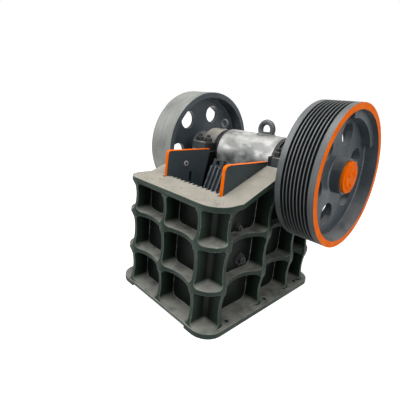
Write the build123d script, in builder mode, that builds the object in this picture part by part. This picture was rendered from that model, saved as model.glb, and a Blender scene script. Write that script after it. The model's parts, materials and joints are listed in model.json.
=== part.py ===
"""Single-toggle jaw crusher with a cast, ribbed box frame.

X runs along the eccentric shaft, +X to the grooved drive pulley. The fixed jaw is
at the -Y end and +Z is up. The origin is the middle of the anchor bolt pattern, on
the underside of the base flange. All sizes are in millimetres.
"""

import os
from math import asin, cos, degrees, hypot, radians, sin, sqrt

from build123d import *

# Crushing chamber
gape_width = 600.0
jaw_gap = 2.0
running_gap = 5.0
cheek_t = 30.0

# Cast frame: walls, ribs and shelves
wall_t = 48.0
rib_t = 30.0
side_rib_depth = 142.0
front_wall_in_y = 490.0
front_wall_t = 80.0
front_rib_depth = 145.0
rear_wall_in_y = 490.0
rear_wall_t = 60.0
rear_rib_depth = 130.0
rear_rib_x = 130.0
side_rib_front_y = -103.0
side_rib_rear_y = 297.0
lower_shelf_z = 325.0
upper_shelf_z = 642.0
shelf_t = 34.0
frame_top_z = 931.0
top_flange_t = 40.0
lobe_r = 148.0
cell_r = 50.0
corner_cell_r = 36.0
rib_scallop = 18.0
shelf_scallop = 42.0
side_shelf_scallop = 78.0
scallop_land = 8.0

# Base flange and anchor bolts
base_t = 40.0
base_lip_x = 31.0
base_lip_y = 10.0
base_relief = 20.0
anchor_x = 495.0
anchor_y = 460.0
anchor_hole_r = 16.0

# Eccentric shaft and its bearings
shaft_y = 310.0
shaft_z = 1116.0
throw = 12.0
journal_r = 95.0
bearing_shaft_r = 85.0
wheel_seat_r = 75.0
shaft_clearance = 0.3
fit_clearance = 0.1
cap_r = 195.0
cap_out_x = 545.0
cap_ear_reach = 295.0
cap_ear_t = 75.0
cap_edge_r = 12.0
cover_r = 140.0
cover_t = 18.0
slope_start_y = -460.0
seat_bracket_drop = 110.0

# Drive pulley and flywheel
wheel_r = 536.0
rim_t = 48.0
rim_in_x = 576.0
rim_width = 290.0
rim_draft = 8.0
web_in_x = 708.0
web_t = 50.0
web_fillet_r = 10.0
hub_r = 136.0
hub_in_x = 590.0
hub_out_x = 837.0
web_hole_count = 6
web_hole_r = 87.0
pulley_hole_pitch_r = 308.0
pulley_hole_start = 20.0
flywheel_hole_pitch_r = 334.0
flywheel_hole_start = 12.0
groove_count = 8
groove_pitch = 26.25
groove_top = 19.0
groove_floor = 8.0
groove_depth = 20.0
counterweight_start = 28.0
counterweight_span = 70.0
counterweight_t = 56.0
counterweight_w = 72.0
end_plate_r = 120.0
end_plate_t = 24.0
end_boss_r = 88.0
end_boss_t = 9.0

# Fixed jaw plate
jaw_plate_t = 75.0
tooth_depth = 30.0
tooth_count = 12
tooth_tip = 14.0
fixed_jaw_low_z = 95.0
jaw_ledge = 46.0

# Cheek plates
cheek_front_y = -462.0
cheek_top_z = 1146.0
cheek_low_z = 180.0
cheek_rear_top_y = 20.0
cheek_rear_low_y = -170.0
cheek_corner_r = 30.0
cheek_hole_r = 14.0
right_cheek_hole_y = -197.0
right_cheek_hole_z = 1032.0
left_cheek_hole_y = -263.0
left_cheek_hole_z = 1028.0
left_cheek_slot_y = -202.0
left_cheek_slot_z = 906.0
left_cheek_slot_l = 94.0
left_cheek_slot_w = 26.0

# Swing jaw: pitman, jaw plate and lifting lugs
jaw_foot_y = -334.0
jaw_foot_z = 61.0
jaw_lean = 20.8
swing_plate_start = 31.0
barrel_r = 210.0
bore_slack = 1.0
pitman_start = 60.0
pitman_foot_t = 130.0
pitman_waist = 430.0
pitman_shoulder = 1040.0
pitman_shoulder_depth = 350.0
pitman_skin = 70.0
pitman_pocket_reach = 700.0
pitman_rib_t = 50.0
pitman_edge_t = 45.0
barrel_ring_r = 204.0
barrel_ring_t = 26.0
lug_x = 215.0
lug_w = 124.0
lug_t = 46.0
lug_set_back = 12.0
lug_h = 74.0
lug_clearance = 10.0
lug_hole_w = 50.0
lug_hole_h = 38.0

# Toggle plate, its seats and the tension rod
toggle_r = 25.0
toggle_w = 520.0
seat_w = 540.0
toggle_seat_run = 290.0
toggle_seat_t = 55.0
toggle_seat_h = 110.0
toggle_stand_off = 17.0
rear_seat_y = 395.0
rear_seat_z = 330.0
rear_seat_t = 55.0
rear_seat_h = 140.0
toggle_beam_depth = 88.0
toggle_beam_h = 60.0
rod_r = 18.0
rod_z = 130.0
rod_hole_r = 36.0
rod_lug_h = 80.0
rod_lug_half = 40.0
rod_lug_y = -60.0
rod_end_y = 838.0
spring_r = 44.0
spring_wire = 14.0
spring_plate_r = 52.0
spring_plate_t = 10.0
spring_gap = 3.0
spring_length = 190.0
rod_nut_r = 30.0
rod_nut_t = 34.0

# Eyebolts
pitman_eye_x = 78.0
pitman_eye_r = 63.0
pitman_eye_wire = 24.0
pitman_eye_turn = 30.0
pitman_eye_rise = 36.0
pitman_eye_pad_r = 84.0
cap_eye_x = 420.0
cap_eye_r = 34.0
cap_eye_wire = 11.0
cap_eye_rise = 48.0
eye_collar_h = 14.0
eye_boss_rise = 6.0

# Planes and levels that the castings share
chamber_half = gape_width / 2
wall_in_x = chamber_half + cheek_t
wall_out_x = wall_in_x + wall_t
tip_x = wall_out_x + side_rib_depth
base_x = tip_x + base_lip_x
front_wall_out_y = front_wall_in_y + front_wall_t
front_split_y = front_wall_out_y - rib_t
front_tip_y = front_wall_out_y + front_rib_depth
rear_wall_out_y = rear_wall_in_y + rear_wall_t
rear_split_y = rear_wall_out_y - rib_t
rear_tip_y = rear_wall_out_y + rear_rib_depth
seat_front_y = shaft_y - cap_ear_reach
seat_rear_y = shaft_y + cap_ear_reach
flange_slope = (shaft_z - frame_top_z) / (seat_front_y - slope_start_y)
frame_rows = [
    (base_t, lower_shelf_z - shelf_t / 2),
    (lower_shelf_z + shelf_t / 2, upper_shelf_z - shelf_t / 2),
    (upper_shelf_z + shelf_t / 2, frame_top_z - top_flange_t),
]
side_rib_lines = [side_rib_front_y, side_rib_rear_y]
pitman_half = chamber_half - running_gap
past = 60.0

SHAFT_AXIS = Axis((0, shaft_y, shaft_z), (1, 0, 0))
RADIAL_PLANE = Plane(origin=(0, shaft_y, shaft_z), x_dir=(1, 0, 0), z_dir=(0, -1, 0))


def scallop_radius(chord, depth):
    """Radius of the arc that is depth deep over a chord."""
    return (chord**2 / 4 + depth**2) / (2 * depth)


def jaw_point(run, depth):
    """Y and Z of a point along the swing jaw's tooth tips and behind them."""
    lean = radians(jaw_lean)
    return (
        jaw_foot_y + run * sin(lean) + depth * cos(lean),
        jaw_foot_z + run * cos(lean) - depth * sin(lean),
    )


def along_jaw(y, z):
    """Run along the swing jaw's tooth tips and depth behind them of a point, as jaw_point takes them."""
    lean = radians(jaw_lean)
    reach_y = y - jaw_foot_y
    reach_z = z - jaw_foot_z
    return reach_y * sin(lean) + reach_z * cos(lean), reach_y * cos(lean) - reach_z * sin(lean)


def jaw_section(run):
    """Plane across the swing jaw at a run along it, with depth as its second axis."""
    lean = radians(jaw_lean)
    y, z = jaw_point(run, 0)
    return Plane(origin=(0, y, z), x_dir=(1, 0, 0), z_dir=(0, sin(lean), cos(lean)))


def flange_under(y):
    """Level of the underside of the side wall's top flange at y."""
    rise = max(0.0, min(y, seat_front_y) - slope_start_y) * flange_slope
    return frame_top_z + rise - top_flange_t


def save(part, name):
    """Label a finished piece and write its file."""
    part.label = name
    export_step(part, f"parts/{name}.step")


os.makedirs("parts", exist_ok=True)

# The lugs end clear of the barrel, and the swing jaw plate ends where they start
barrel_run, barrel_depth = along_jaw(shaft_y, shaft_z)
lug_to_barrel = barrel_depth - lug_set_back - lug_t
lug_end_run = barrel_run - sqrt((barrel_r + lug_clearance) ** 2 - lug_to_barrel**2)
swing_plate_end = lug_end_run - lug_h


def end_wall(sign, wall_in, wall_out, tip, inner_ribs):
    """Front or rear casting: wall, ribs, shelves, corner lobes and its part of the base.

    sign is -1 at the front and +1 at the rear, and distances run outwards along Y.
    """
    split = wall_out - rib_t
    rib_lines = [-wall_out_x + rib_t / 2, *inner_ribs, wall_out_x - rib_t / 2]
    bays = [(a + rib_t / 2, b - rib_t / 2) for a, b in zip(rib_lines, rib_lines[1:])]
    base_end = tip + base_lip_y
    outer = 0 if sign < 0 else -1
    with BuildPart() as wall:
        with BuildSketch() as plan:
            with Locations((0, sign * (split + tip) / 2)):
                Rectangle(2 * tip_x, tip - split)
            fillet(plan.vertices().group_by(Axis.Y)[outer], lobe_r)
        extrude(amount=frame_top_z)
        with Locations((0, sign * (wall_in + split) / 2, frame_top_z / 2)):
            Box(2 * wall_in_x, split - wall_in, frame_top_z)
        for low, high in frame_rows:
            middle = (low + high) / 2
            chord = high - low - 2 * scallop_land
            arc_r = scallop_radius(chord, rib_scallop)
            for left, right in bays:
                face = Plane(
                    origin=((left + right) / 2, sign * wall_out, middle),
                    x_dir=(1, 0, 0),
                    z_dir=(0, sign, 0),
                )
                with BuildSketch(face):
                    RectangleRounded(right - left, high - low, cell_r)
                extrude(amount=tip - wall_out + past, mode=Mode.SUBTRACT)
            for side in (-1, 1):
                add(corner_cell(side, sign, wall_out, tip, low, high), mode=Mode.SUBTRACT)
                place = (side * (tip_x + arc_r - rib_scallop), sign * tip, middle)
                with Locations(Location(place, (90, 0, 0))):
                    Cylinder(arc_r, 2 * (tip - split) + past, mode=Mode.SUBTRACT)
            with Locations(Location((0, sign * (tip + arc_r - rib_scallop), middle), (0, 90, 0))):
                Cylinder(arc_r, 2 * tip_x + past, mode=Mode.SUBTRACT)
        shelf_low, shelf_high = frame_rows[0][0], frame_rows[-1][1]
        for left, right in bays:
            arc_r = scallop_radius(right - left - 2 * scallop_land, shelf_scallop)
            place = ((left + right) / 2, sign * (tip + arc_r - shelf_scallop), (shelf_low + shelf_high) / 2)
            with Locations(place):
                Cylinder(arc_r, shelf_high - shelf_low, mode=Mode.SUBTRACT)
        with BuildSketch() as foot:
            with Locations((0, sign * (split + base_end) / 2)):
                Rectangle(2 * base_x, base_end - split)
            fillet(foot.vertices().group_by(Axis.Y)[outer], lobe_r)
        extrude(amount=base_t)
        with Locations((0, sign * (wall_out + base_end + past) / 2, base_relief / 2)):
            Box(2 * wall_in_x, base_end + past - wall_out, base_relief, mode=Mode.SUBTRACT)
    return wall.part


def corner_cell(side, sign, wall_out, tip, low, high):
    """Cutter for a corner cell, open on two sides, with its inner edges rounded."""
    reach_x = tip_x + past - wall_out_x
    reach_y = tip + past - wall_out
    with BuildPart() as cell:
        place = (side * (wall_out_x + reach_x / 2), sign * (wall_out + reach_y / 2), (low + high) / 2)
        with Locations(place):
            Box(reach_x, reach_y, high - low)
        fillet(cell.edges(), corner_cell_r)
    return cell.part


def side_wall(side):
    """Side casting: wall, ribs, shelves, sloping top flange, bearing saddle and base."""
    bay_ends = [-front_split_y, *side_rib_lines, rear_split_y]
    with BuildPart() as wall:
        with BuildSketch(Plane.YZ.offset(side * wall_in_x)):
            with BuildLine():
                Polyline(
                    (-front_split_y, 0),
                    (-front_split_y, frame_top_z),
                    (slope_start_y, frame_top_z),
                    (seat_front_y, shaft_z),
                    (seat_rear_y, shaft_z),
                    (seat_rear_y, shaft_z - seat_bracket_drop),
                    (rear_wall_out_y, frame_top_z),
                    (rear_split_y, frame_top_z),
                    (rear_split_y, 0),
                    close=True,
                )
            make_face()
        extrude(amount=side * (tip_x - wall_in_x))
        floor_plane = Plane.YZ.offset(side * wall_out_x)
        depth = side * (side_rib_depth + past)
        for number, (start, end) in enumerate(zip(bay_ends, bay_ends[1:])):
            left = start + (rib_t / 2 if number else 0)
            right = end - (rib_t / 2 if number + 2 < len(bay_ends) else 0)
            for low, high in frame_rows[:2]:
                with BuildSketch(floor_plane):
                    with Locations(((left + right) / 2, (low + high) / 2)):
                        RectangleRounded(right - left, high - low, cell_r)
                extrude(amount=depth, mode=Mode.SUBTRACT)
            corners = [(left, frame_rows[2][0]), (right, frame_rows[2][0]), (right, flange_under(right))]
            corners += [(y, flange_under(y)) for y in (seat_front_y, slope_start_y) if left < y < right]
            corners.append((left, flange_under(left)))
            with BuildSketch(floor_plane) as cell:
                with BuildLine():
                    Polyline(*corners, close=True)
                make_face()
                fillet(cell.vertices(), cell_r)
            extrude(amount=depth, mode=Mode.SUBTRACT)
            arc_r = scallop_radius(right - left - 2 * scallop_land, side_shelf_scallop)
            shelf_top = upper_shelf_z + shelf_t
            arc_x = side * (tip_x + arc_r - side_shelf_scallop)
            place = (arc_x, (left + right) / 2, (base_t + shelf_top) / 2)
            with Locations(place):
                Cylinder(arc_r, shelf_top - base_t, mode=Mode.SUBTRACT)
        for low, high in frame_rows:
            arc_r = scallop_radius(high - low - 2 * scallop_land, rib_scallop)
            place = (side * (tip_x + arc_r - rib_scallop), 0, (low + high) / 2)
            with Locations(Location(place, (90, 0, 0))):
                Cylinder(arc_r, 2 * front_split_y, mode=Mode.SUBTRACT)
        with BuildSketch(Plane.YZ.offset(side * wall_in_x)):
            with Locations((shaft_y, shaft_z)):
                Circle(cap_r)
            with Locations((shaft_y, shaft_z + cap_r / 2)):
                Rectangle(2 * cap_r, cap_r, mode=Mode.SUBTRACT)
            with Locations((shaft_y, shaft_z - cap_ear_t / 2)):
                Rectangle(2 * cap_ear_reach, cap_ear_t)
        extrude(amount=side * (cap_out_x - wall_in_x))
        base_middle = (side * (wall_in_x + base_x) / 2, (rear_split_y - front_split_y) / 2, base_t / 2)
        with Locations(base_middle):
            Box(base_x - wall_in_x, rear_split_y + front_split_y, base_t)
        with Locations(*[(side * anchor_x, y, base_t / 2) for y in (-anchor_y, 0, anchor_y)]):
            Cylinder(anchor_hole_r, base_t, mode=Mode.SUBTRACT)
        bore_middle = (side * (wall_in_x + cap_out_x) / 2, shaft_y, shaft_z)
        with Locations(Location(bore_middle, (0, 90, 0))):
            Cylinder(bearing_shaft_r + shaft_clearance, cap_out_x, mode=Mode.SUBTRACT)
    return wall.part


def side_ribs(side, wall):
    """Lattice of ribs and shelves of a side casting, between its base, top flange and saddle."""
    bends = [-front_split_y, slope_start_y, seat_front_y, rear_split_y]
    with BuildPart() as lattice:
        add(wall)
        with BuildSketch(Plane.YZ.offset(side * wall_out_x)):
            with BuildLine():
                Polyline(
                    (rear_split_y, base_t),
                    (-front_split_y, base_t),
                    *[(y, flange_under(y)) for y in bends],
                    close=True,
                )
            make_face()
            with Locations((shaft_y, shaft_z)):
                Circle(cap_r, mode=Mode.SUBTRACT)
        extrude(amount=side * side_rib_depth, mode=Mode.INTERSECT)
    return lattice.solids().sort_by(SortBy.VOLUME)[-1]


# Front casting with the ledge that carries the fixed jaw plate
with BuildPart() as frame_front_wall:
    add(end_wall(-1, front_wall_in_y, front_wall_out_y, front_tip_y, [0.0]))
    with Locations((0, -front_wall_in_y + jaw_ledge / 2, (base_t + fixed_jaw_low_z) / 2)):
        Box(2 * wall_in_x, jaw_ledge, fixed_jaw_low_z - base_t)
save(frame_front_wall.part, "frame_front_wall")

# Rear casting with the beam under the toggle seat and the hole for the tension rod
with BuildPart() as frame_rear_wall:
    add(end_wall(1, rear_wall_in_y, rear_wall_out_y, rear_tip_y, [-rear_rib_x, rear_rib_x]))
    beam_top = rear_seat_z - rear_seat_h / 2
    with Locations((0, rear_wall_in_y - toggle_beam_depth / 2, beam_top - toggle_beam_h / 2)):
        Box(2 * wall_in_x, toggle_beam_depth, toggle_beam_h)
    with Locations(Location((0, rear_wall_out_y, rod_z), (90, 0, 0))):
        Cylinder(rod_hole_r, 2 * rear_wall_t + past, mode=Mode.SUBTRACT)
save(frame_rear_wall.part, "frame_rear_wall")

# Side castings, each with its lattice of ribs as a piece of its own
for side, side_name in ((1, "right"), (-1, "left")):
    casting = side_wall(side)
    with BuildPart() as frame_side_ribs:
        add(side_ribs(side, casting))
    save(frame_side_ribs.part, f"frame_{side_name}_ribs")
    with BuildPart() as frame_side_wall:
        add(casting)
        add(frame_side_ribs.part, mode=Mode.SUBTRACT)
    save(frame_side_wall.part, f"frame_{side_name}_wall")


def tooth_profile(width, depth_sign):
    """Sketch of a toothed plate's section: tips on the first axis, the back behind it."""
    pitch = width / tooth_count
    flank = (pitch - 2 * tooth_tip) / 2
    root = depth_sign * tooth_depth
    points = []
    for number in range(tooth_count):
        start = -width / 2 + number * pitch
        points.append((start, root))
        points.append((start + tooth_tip / 2, root))
        points.append((start + tooth_tip / 2 + flank, 0))
        points.append((start + tooth_tip * 3 / 2 + flank, 0))
        points.append((start + tooth_tip * 3 / 2 + 2 * flank, root))
    points.append((width / 2, root))
    back = depth_sign * jaw_plate_t
    with BuildSketch() as section:
        with BuildLine():
            Polyline(*points, (width / 2, back), (-width / 2, back), close=True)
        make_face()
    return section.sketch


# Fixed jaw plate, flush with the front flange
fixed_jaw_width = gape_width - 2 * jaw_gap
with BuildPart() as fixed_jaw_plate:
    with BuildSketch(Plane((0, jaw_plate_t - front_wall_in_y, fixed_jaw_low_z))):
        add(tooth_profile(fixed_jaw_width, -1))
    extrude(amount=frame_top_z - fixed_jaw_low_z)
save(fixed_jaw_plate.part, "fixed_jaw_plate")


def cheek_plate(side):
    """Wear plate on a side wall, standing above the sloping flange."""
    with BuildPart() as cheek:
        with BuildSketch(Plane.YZ.offset(side * chamber_half)) as outline:
            with BuildLine():
                Polyline(
                    (cheek_front_y, cheek_low_z),
                    (cheek_front_y, cheek_top_z),
                    (cheek_rear_top_y, cheek_top_z),
                    (cheek_rear_low_y, cheek_low_z),
                    close=True,
                )
            make_face()
            fillet(outline.vertices().group_by(Axis.X)[0], cheek_corner_r)
            if side > 0:
                with Locations((right_cheek_hole_y, right_cheek_hole_z)):
                    Circle(cheek_hole_r, mode=Mode.SUBTRACT)
            else:
                with Locations((left_cheek_hole_y, left_cheek_hole_z)):
                    Circle(cheek_hole_r, mode=Mode.SUBTRACT)
                with Locations((left_cheek_slot_y, left_cheek_slot_z)):
                    SlotOverall(left_cheek_slot_l, left_cheek_slot_w, rotation=90, mode=Mode.SUBTRACT)
        extrude(amount=side * cheek_t)
    return cheek.part


def bearing_cap(side):
    """Upper half of a main bearing housing with its bolting ears and a lifting boss."""
    middle_x = side * (wall_in_x + cap_out_x) / 2
    with BuildPart() as cap:
        with BuildSketch(Plane.YZ.offset(side * wall_in_x)):
            with Locations((shaft_y, shaft_z)):
                Circle(cap_r)
            with Locations((shaft_y, shaft_z - cap_r / 2)):
                Rectangle(2 * cap_r, cap_r, mode=Mode.SUBTRACT)
            with Locations((shaft_y, shaft_z + cap_ear_t / 2)):
                Rectangle(2 * cap_ear_reach, cap_ear_t)
        extrude(amount=side * (cap_out_x - wall_in_x))
        outer_face = cap.faces().sort_by(Axis.X)[-1 if side > 0 else 0]
        chamfer(outer_face.edges().filter_by(GeomType.CIRCLE), cap_edge_r)
        with Locations((side * cap_eye_x, shaft_y, shaft_z + (cap_r + eye_boss_rise) / 2)):
            Cylinder(2 * cap_eye_wire + eye_boss_rise, cap_r + eye_boss_rise)
        with Locations(Location((middle_x, shaft_y, shaft_z), (0, 90, 0))):
            Cylinder(bearing_shaft_r + shaft_clearance, cap_out_x, mode=Mode.SUBTRACT)
    return cap.part


def bearing_cover(side):
    """Round end cover of a main bearing, between its housing and the wheel."""
    with BuildPart() as cover:
        with BuildSketch(Plane.YZ.offset(side * cap_out_x)):
            with Locations((shaft_y, shaft_z)):
                Circle(cover_r)
                Circle(bearing_shaft_r + shaft_clearance, mode=Mode.SUBTRACT)
        extrude(amount=side * cover_t)
    return cover.part


def eyebolt(x, y, seat_z, rise, ring_r, wire_r, turn):
    """Forged lifting eye: a ring, its middle at a rise above seat_z, on a round collar."""
    with BuildPart() as eye:
        with Locations((x, y, seat_z + eye_collar_h / 2)):
            Cylinder(2 * wire_r, eye_collar_h)
        with Locations(Location((x, y, seat_z + rise), (90, 0, turn))):
            Torus(ring_r, wire_r)
        split(bisect_by=Plane.XY.offset(seat_z), keep=Keep.TOP)
    return eye.part


def wheel_profile(grooved):
    """Section of a wheel through its axis: hub, web and rim, with the belt grooves."""
    rim_in_r = wheel_r - rim_t
    rim_out_x = rim_in_x + rim_width
    web_out_x = web_in_x + web_t
    bore = wheel_seat_r + fit_clearance
    points = [
        (hub_in_x, bore),
        (hub_out_x, bore),
        (hub_out_x, hub_r),
        (web_out_x, hub_r),
        (web_out_x, rim_in_r - rim_draft),
        (rim_out_x, rim_in_r),
        (rim_out_x, wheel_r),
    ]
    if grooved:
        first = rim_in_x + (rim_width - groove_pitch * (groove_count - 1)) / 2
        for number in reversed(range(groove_count)):
            middle = first + number * groove_pitch
            points.append((middle + groove_top / 2, wheel_r))
            points.append((middle + groove_floor / 2, wheel_r - groove_depth))
            points.append((middle - groove_floor / 2, wheel_r - groove_depth))
            points.append((middle - groove_top / 2, wheel_r))
    points += [
        (rim_in_x, wheel_r),
        (rim_in_x, rim_in_r),
        (web_in_x, rim_in_r - rim_draft),
        (web_in_x, hub_r),
        (hub_in_x, hub_r),
    ]
    return points


def wheel(side, grooved):
    """Cast wheel on the shaft's end, with round holes through its web."""
    web_mid_x = web_in_x + web_t / 2
    hole_pitch_r, hole_start = (
        (pulley_hole_pitch_r, pulley_hole_start) if grooved else (flywheel_hole_pitch_r, flywheel_hole_start)
    )
    with BuildPart() as casting:
        with BuildSketch(RADIAL_PLANE) as section:
            with BuildLine():
                Polyline(*[(side * x, r) for x, r in wheel_profile(grooved)], close=True)
            make_face()
            web_ends = section.vertices().filter_by(
                lambda v: v.Y < wheel_r - rim_t and abs(abs(v.X) - web_mid_x) < web_t
            )
            fillet(web_ends, web_fillet_r)
        revolve(axis=SHAFT_AXIS)
        web_plane = Plane(origin=(side * web_mid_x, shaft_y, shaft_z), z_dir=(1, 0, 0), x_dir=(0, 1, 0))
        with Locations(web_plane):
            with PolarLocations(hole_pitch_r, web_hole_count, hole_start):
                Cylinder(web_hole_r, web_t + past, mode=Mode.SUBTRACT)
    return casting.part


def counterweight(side):
    """Balance weight: a ring segment on the outer side of the web, tucked under the rim."""
    start_x = web_in_x + web_t
    end_x = start_x + counterweight_w
    outer = wheel_r - rim_t - rim_draft - fit_clearance
    draft_rise = rim_draft * counterweight_w / (rim_in_x + rim_width - start_x)
    points = [
        (start_x, outer - counterweight_t),
        (end_x, outer - counterweight_t),
        (end_x, outer + draft_rise),
        (start_x + web_fillet_r, outer),
        (start_x, outer - web_fillet_r),
    ]
    with BuildPart() as weight:
        with BuildSketch(RADIAL_PLANE):
            with BuildLine():
                Polyline(*[(side * x, r) for x, r in points], close=True)
            make_face()
        revolve(axis=SHAFT_AXIS, revolution_arc=counterweight_span)
    return weight.part.rotate(SHAFT_AXIS, counterweight_start - 90)


def end_plate(side):
    """Stepped retaining plate on a wheel's hub."""
    with BuildPart() as plate:
        with BuildSketch(Plane.YZ.offset(side * hub_out_x)):
            with Locations((shaft_y, shaft_z)):
                Circle(end_plate_r)
        extrude(amount=side * end_plate_t)
        with BuildSketch(Plane.YZ.offset(side * (hub_out_x + end_plate_t))):
            with Locations((shaft_y, shaft_z)):
                Circle(end_boss_r)
        extrude(amount=side * end_boss_t)
    return plate.part


# Eccentric shaft: the middle journal is set off the axis by the throw
with BuildPart() as eccentric_shaft:
    with BuildSketch(Plane.YZ.offset(-pitman_half)):
        with Locations((shaft_y, shaft_z + throw)):
            Circle(journal_r)
    extrude(amount=2 * pitman_half)
    for side in (-1, 1):
        with BuildSketch(Plane.YZ.offset(side * pitman_half)):
            with Locations((shaft_y, shaft_z)):
                Circle(bearing_shaft_r)
        extrude(amount=side * (hub_in_x - pitman_half))
        with BuildSketch(Plane.YZ.offset(side * hub_in_x)):
            with Locations((shaft_y, shaft_z)):
                Circle(wheel_seat_r)
        extrude(amount=side * (hub_out_x - hub_in_x))
save(eccentric_shaft.part, "eccentric_shaft")

for side, side_name, wheel_name in ((1, "right", "drive_pulley"), (-1, "left", "flywheel")):
    save(cheek_plate(side), f"{side_name}_cheek_plate")
    save(bearing_cap(side), f"{side_name}_bearing_cap")
    save(bearing_cover(side), f"{side_name}_bearing_cover")
    cap_seat_z = shaft_z + cap_r + eye_boss_rise
    cap_eyebolt = eyebolt(side * cap_eye_x, shaft_y, cap_seat_z, cap_eye_rise, cap_eye_r, cap_eye_wire, 0)
    save(cap_eyebolt, f"{side_name}_cap_eyebolt")
    save(wheel(side, grooved=side > 0), wheel_name)
    save(counterweight(side), f"{wheel_name}_counterweight")
    save(end_plate(side), f"{wheel_name}_end_plate")

# Pitman: barrel round the eccentric, tapering body behind the jaw plate, ribbed at the back
bore_r = journal_r + 2 * throw + bore_slack
foot_depth = jaw_plate_t + pitman_foot_t
with BuildPart() as pitman:
    with BuildSketch(Plane.YZ.offset(-pitman_half)):
        with BuildLine():
            Polyline(
                jaw_point(pitman_start, jaw_plate_t),
                jaw_point(barrel_run, jaw_plate_t),
                (shaft_y, shaft_z),
                jaw_point(barrel_run, pitman_shoulder_depth),
                jaw_point(pitman_shoulder, pitman_shoulder_depth),
                jaw_point(pitman_waist, foot_depth),
                jaw_point(pitman_start, foot_depth),
                close=True,
            )
        make_face()
        with Locations((shaft_y, shaft_z)):
            Circle(barrel_r)
    extrude(amount=2 * pitman_half)
    pocket_w = pitman_half - pitman_edge_t - pitman_rib_t / 2
    for side in (-1, 1):
        with BuildSketch(Plane.YZ.offset(side * pitman_rib_t / 2)):
            with BuildLine():
                Polyline(
                    jaw_point(pitman_waist + pitman_rib_t, jaw_plate_t + pitman_skin),
                    jaw_point(pitman_shoulder - pitman_skin, jaw_plate_t + pitman_skin),
                    jaw_point(pitman_shoulder - pitman_skin, pitman_pocket_reach),
                    jaw_point(pitman_waist + pitman_rib_t, pitman_pocket_reach),
                    close=True,
                )
            make_face()
        extrude(amount=side * pocket_w, mode=Mode.SUBTRACT)
    with Locations((pitman_eye_x, shaft_y, shaft_z + (barrel_r + eye_boss_rise) / 2)):
        Cylinder(pitman_eye_pad_r, barrel_r + eye_boss_rise)
    lug_low = rod_z - rod_lug_h / 2
    with BuildSketch(Plane.YZ.offset(-rod_lug_half)):
        with BuildLine():
            Polyline(
                jaw_point(pitman_start + pitman_rib_t / 2, jaw_plate_t + pitman_skin),
                jaw_point(pitman_start + 2 * rod_lug_h, jaw_plate_t + pitman_skin),
                (rod_lug_y, rod_z + rod_lug_h / 2),
                (rod_lug_y, lug_low),
                close=True,
            )
        make_face()
    extrude(amount=2 * rod_lug_half)
    with Locations(Location((0, shaft_y, shaft_z), (0, 90, 0))):
        Cylinder(bore_r, 2 * pitman_half + past, mode=Mode.SUBTRACT)
save(pitman.part, "pitman")

# Dark sealing rings at the ends of the pitman barrel
for side, side_name in ((1, "right"), (-1, "left")):
    with BuildPart() as pitman_ring:
        with BuildSketch(Plane.YZ.offset(side * pitman_half)):
            with Locations((shaft_y, shaft_z)):
                Circle(barrel_ring_r)
                Circle(bore_r, mode=Mode.SUBTRACT)
        extrude(amount=side * barrel_ring_t)
    save(pitman_ring.part, f"{side_name}_pitman_ring")

save(
    eyebolt(
        pitman_eye_x,
        shaft_y,
        shaft_z + barrel_r + eye_boss_rise,
        pitman_eye_rise,
        pitman_eye_r,
        pitman_eye_wire,
        pitman_eye_turn,
    ),
    "pitman_eyebolt",
)

# Swing jaw plate along the front of the pitman
with BuildPart() as swing_jaw_plate:
    with BuildSketch(jaw_section(swing_plate_start)):
        add(tooth_profile(2 * pitman_half, 1))
    extrude(amount=swing_plate_end - swing_plate_start)
save(swing_jaw_plate.part, "swing_jaw_plate")

# Lifting lugs on the top end of the swing jaw plate
for side, side_name in ((1, "right"), (-1, "left")):
    with BuildPart() as jaw_lug:
        with BuildSketch(jaw_section(swing_plate_end)):
            with Locations((side * lug_x, lug_set_back + lug_t / 2)):
                Rectangle(lug_w, lug_t)
        extrude(amount=lug_h)
        hole_y, hole_z = jaw_point(swing_plate_end + lug_h / 2, lug_set_back + lug_t / 2)
        with Locations(Location((side * lug_x, hole_y, hole_z), (-jaw_lean, 0, 0))):
            Box(lug_hole_w, 2 * lug_t, lug_hole_h, mode=Mode.SUBTRACT)
    save(jaw_lug.part, f"{side_name}_jaw_lug")

# Toggle seat on the pitman, with a round groove for the toggle's end
toggle_front_y, toggle_front_z = jaw_point(toggle_seat_run, foot_depth + toggle_seat_t + toggle_stand_off)
with BuildPart() as front_toggle_seat:
    with BuildSketch(jaw_section(toggle_seat_run - toggle_seat_h / 2)):
        with Locations((0, foot_depth + toggle_seat_t / 2)):
            Rectangle(seat_w, toggle_seat_t)
    extrude(amount=toggle_seat_h)
    with Locations(Location((0, toggle_front_y, toggle_front_z), (0, 90, 0))):
        Cylinder(toggle_r + shaft_clearance, seat_w + past, mode=Mode.SUBTRACT)
save(front_toggle_seat.part, "front_toggle_seat")

# Toggle plate between the two seats, with round ends
toggle_length = hypot(rear_seat_y - toggle_front_y, rear_seat_z - toggle_front_z)
toggle_tilt = degrees(asin((rear_seat_z - toggle_front_z) / toggle_length))
toggle_middle = ((toggle_front_y + rear_seat_y) / 2, (toggle_front_z + rear_seat_z) / 2)
with BuildPart() as toggle_plate:
    with BuildSketch(Plane.YZ.offset(-toggle_w / 2)):
        with Locations(Location((*toggle_middle, 0), (0, 0, toggle_tilt))):
            SlotCenterToCenter(toggle_length, 2 * toggle_r)
    extrude(amount=toggle_w)
save(toggle_plate.part, "toggle_plate")

# Rear toggle seat and the adjusting shims behind it
seat_face_y = rear_seat_y + toggle_stand_off
with BuildPart() as rear_toggle_seat:
    with Locations((0, seat_face_y + rear_seat_t / 2, rear_seat_z)):
        Box(seat_w, rear_seat_t, rear_seat_h)
    with Locations(Location((0, rear_seat_y, rear_seat_z), (0, 90, 0))):
        Cylinder(toggle_r + shaft_clearance, seat_w + past, mode=Mode.SUBTRACT)
save(rear_toggle_seat.part, "rear_toggle_seat")

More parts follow.
